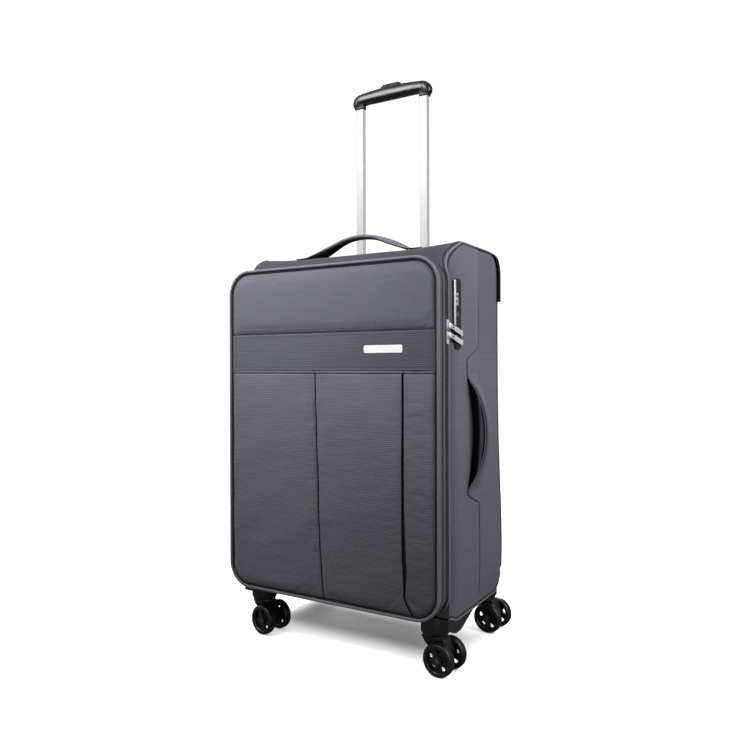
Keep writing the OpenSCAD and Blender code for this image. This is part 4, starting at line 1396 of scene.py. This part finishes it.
def grip_moulding():
    """arch from the left neck round its corner and over to the mirrored right neck"""
    left = list(GRIP_NECK)
    for a in np.radians(np.linspace(0, 90, 8)[1:]):
        c, s = math.cos(a), math.sin(a)
        left.append((-70.8 + 10 * (1 - c), 980 + 6.0 * s, 13.3 - 2.5 * s, 10.4 + 1.4 * s))
    for x in np.linspace(-52, 0, 9):
        left.append((x, 986.2 + 1.7 * (1 - (x / 61) ** 2), 10.8 + 1.7 * (1 - (x / 56) ** 2), 12))
    left = np.array(left)
    stations = np.vstack([left, left[:-1][::-1] * (-1, 1, 1, 1)])
    centre = np.c_[stations[:, 0], np.full(len(stations), GRIP_Y), stations[:, 1]]
    along = tangents(centre, False)
    along[0] = (0, 0, 1)
    along[-1] = (0, 0, -1)
    across = np.array([0, 1.0, 0])
    out = np.cross(along, across)
    out /= np.linalg.norm(out, axis=1)[:, None]
    out *= np.sign(((centre - np.array([0, GRIP_Y, 975.0])) * out).sum(1))[:, None]
    rings = []
    for i, (_, z, half, depth) in enumerate(stations):
        section = superellipse(depth, half, 36, 2.7 + 2.8 * clamp((978 - z) / 8, 0, 1))
        rings.append(centre[i] + section[:, 0:1] * across + section[:, 1:2] * out[i])
    v, f = loft(rings, capped=True)
    moulding = mesh_object("trolley_grip_moulding", v, f, GRIP_BLACK, "trolley", sharp=60,
                           slot="black_plastic", replaces="trolley_grip")
    subdivision = moulding.modifiers.new("s", "SUBSURF")
    subdivision.levels = 1
    subdivision.render_levels = 1


def grip_button(name, z0, z1, half_x, half_y, material, body, replaces=None):
    """rounded block with a softened top edge"""
    radius = 5
    rings = []
    for z, inset in ((z0, 0.0), (z1 - 1.6, 0.0), (z1 - 0.6, 0.5), (z1, 1.8)):
        hx, hy = half_x - inset, half_y - inset
        flat = outline(-hx, GRIP_Y - hy, hx, GRIP_Y + hy, max(radius - inset, 0.5),
                       across=6, upright=4, corner=6)
        rings.append(np.c_[flat, np.full(len(flat), z)])
    v, f = loft(rings, capped=True)
    mesh_object(name, v, f, material, body, sharp=45, slot="black_plastic", replaces=replaces)


def grip_screw(x, label):
    turn = np.linspace(0, 2 * math.pi, 20, endpoint=False)
    profile = ((3.6, 977.6), (3.6, 975.9), (2.6, 975.6), (2.2, 976.4), (0.8, 976.5))   # radius, z
    v, f = loft([np.c_[x + r * np.cos(turn), GRIP_Y + r * np.sin(turn), np.full(20, z)]
                 for r, z in profile], capped=True)
    mesh_object("grip_screw_" + label, v, f, STEEL, "trolley", sharp=40, slot="steel")


grip_moulding()
grip_button("grip_button_rim", z0=996.5, z1=1001.4, half_x=21.5, half_y=8.6,
            material=GRIP_BLACK, body="trolley")
grip_button("grip_push_button", z0=996.0, z1=1004.6, half_x=18.8, half_y=6.8,
            material=BLACK, body="trolley_button", replaces="trolley_button")
grip_screw(-44, "l")
grip_screw(44, "r")


# ------------------------------------------------------------------ CAD parts that stay
def dress(name, material, bevel_mm, segments=2):
    """gives a CAD part its finish and small rounded edges"""
    part = NODES[name]
    part.data.materials.clear()
    part.data.materials.append(material)
    weld = part.modifiers.new("w", "WELD")
    weld.merge_threshold = 0.00002
    bevel = part.modifiers.new("b", "BEVEL")
    bevel.width = bevel_mm * MM
    bevel.segments = segments
    bevel.limit_method = "ANGLE"
    bevel.angle_limit = math.radians(35)
    bevel.use_clamp_overlap = True


FINISHES = (      # material, bevel in mm, parts
    (BLACK, 0.8, ("trolley_bezel", "trolley_bracket", "trolley_end_blocks")),
    (GUARD, 0.8, ("corner_guards",)),
    (BLACK, 0.4, ("lock_body",)),
    (BLACK, 0.5, ("lock_button",)),
    (BOARD, 0.4, ("base_pan", "frame_hoop")),
    (BRIGHT, 0.3, ("zip_slider_upper", "zip_slider_lower", "zip_pull_upper", "zip_pull_lower",
                   "expansion_slider")),
    (STEEL, 0.25, ("lock_key_cylinder", "lock_dial_upper", "lock_dial_middle",
                   "lock_dial_lower")),
    (BADGE, 0.5, ("badge_plate",)),
    (STEEL, 0.3, ("case_screws", "swivel_pins", "trolley_push_rods", "trolley_latch_pins")))
for material, bevel_mm, names in FINISHES:
    for name in names:
        dress(name, material, bevel_mm)
for name in ("trolley_outer_tubes", "trolley_inner_tubes"):
    dress(name, ALUMINIUM, 3.0, segments=4)
for corner in ("fl", "fr", "rl", "rr"):
    dress("caster_housing_" + corner, HOUSING, 1.2, segments=3)
    dress("caster_fork_" + corner, BLACK, 0.8)
    dress("axle_" + corner, STEEL, 0.3)
    for wheel in ("outer", "inner"):
        dress("wheel_%s_%s" % (corner, wheel), WHEEL, 0.5)


# ------------------------------------------------------------------ studio
def floor():
    """white floor, glowing to the camera, with a painted soft shadow under the case and painted
    contact shade near it
    """
    size = 12.0
    mesh = bpy.data.meshes.new("floor")
    mesh.from_pydata([(-size, -size, 0), (size, -size, 0), (size, size, 0), (-size, size, 0)],
                     [], [(0, 1, 2, 3)])
    obj = bpy.data.objects.new("floor", mesh)
    scene.collection.objects.link(obj)
    material, tree, surface = new_material("floor_white")
    to_camera = add(tree, "LightPath").output("Is Camera Ray")
    x, y, _ = add(tree, "NewGeometry").output("Position").split()
    from_middle, depth = (x - OX).math("ABSOLUTE"), y - OY
    shadow = depth.ramp(0.045, 0.135) * depth.ramp(0.19, 0.285, low=1.0, high=0.0)
    shadow = shadow * from_middle.ramp(0.150, 0.225, low=1.0, high=0.0)
    # painted contact shade: ambient occlusion dims the glow near the case
    open_sky = add(tree, "AmbientOcclusion", {"Distance": 0.05}, samples=8).output("AO")
    glow = (0.98 - shadow * 0.93) * (0.35 + open_sky * 0.65)
    # grey to the other rays, so that little light bounces up
    colour = add(tree, "Mix", {0: to_camera, 6: (0.18, 0.18, 0.18, 1),
                               7: (0.93, 0.925, 0.92, 1)}, data_type="RGBA").output(2)
    feed(tree, surface, {
        "Base Color": colour, "Roughness": 0.9, "Specular IOR Level": 0.1,
        "Emission Color": (1, 1, 1, 1), "Emission Strength": to_camera * glow})
    mesh.materials.append(material)


def studio_world():
    """white surroundings with their own strength for camera, glossy and other rays"""
    world = bpy.data.worlds.new("studio")
    scene.world = world
    world.use_nodes = True
    tree = world.node_tree
    rays = add(tree, "LightPath")
    plain = add(tree, "Mix", {0: rays.output("Is Camera Ray"), 2: 0.15, 3: 1.15},
                data_type="FLOAT")
    strength = add(tree, "Mix", {0: rays.output("Is Glossy Ray"), 2: plain, 3: 0.32},
                   data_type="FLOAT")
    feed(tree, tree.nodes["Background"], {"Strength": strength, "Color": (1, 1, 1, 1)})


def area(name, place, target, size, power, spread=180):
    light = bpy.data.lights.new(name, "AREA")
    light.shape = "RECTANGLE"
    light.size, light.size_y = size
    light.energy = power
    light.spread = math.radians(spread)
    obj = bpy.data.objects.new(name, light)
    scene.collection.objects.link(obj)
    obj.location = place
    aim = Vector(target) - Vector(place)
    obj.rotation_euler = aim.to_track_quat("-Z", "Y").to_euler()


def camera():
    """camera in front of the case and to its right"""
    place = (0.64891 + OX, -0.94591 + OY, 0.47239)
    yaw, pitch, roll = (math.radians(a) for a in (31.0123, -0.1021, -0.1419))
    data = bpy.data.cameras.new("camera")
    data.sensor_width = 36.0
    data.lens = 34.703755
    data.clip_start = 0.05
    data.clip_end = 100
    obj = bpy.data.objects.new("camera", data)
    scene.collection.objects.link(obj)
    level_right = Vector((math.cos(yaw), math.sin(yaw), 0))
    level_ahead = Vector((-math.sin(yaw), math.cos(yaw), 0))
    vertical = Vector((0, 0, 1))
    ahead = level_ahead * math.cos(pitch) + vertical * math.sin(pitch)
    pitched_up = -level_ahead * math.sin(pitch) + vertical * math.cos(pitch)
    right = level_right * math.cos(roll) + pitched_up * math.sin(roll)
    up = -level_right * math.sin(roll) + pitched_up * math.cos(roll)
    rows = [(right[k], up[k], -ahead[k], place[k]) for k in range(3)]
    obj.matrix_world = Matrix((*rows, (0, 0, 0, 1)))
    scene.camera = obj


floor()
studio_world()
area("key_front_top", place=(-0.40, -0.80, 1.22), target=(-0.16, -0.14, 0.72), size=(0.6, 0.4),
     power=4.6, spread=85)
area("side_top", place=(1.15, -0.13, 1.08), target=(0.2, 0.05, 0.64), size=(0.5, 0.5),
     power=5.2, spread=105)
area("side_front", place=(1.45, -1.05, 0.62), target=(0.22, 0.1, 0.45), size=(0.3, 0.5), power=4)
area("overhead", place=(0.1, 0.1, 2.6), target=(0, 0, 0), size=(1.8, 1.8), power=4)
area("back_fill", place=(-0.6, 2.0, 1.2), target=(0, 0, 0.45), size=(1.2, 1.0), power=18)
area("left_fill", place=(-1.9, 0.1, 1.2), target=(0, 0, 0.45), size=(1.0, 1.0), power=9)
camera()
scene.view_settings.view_transform = "Standard"
scene.view_settings.look = "None"
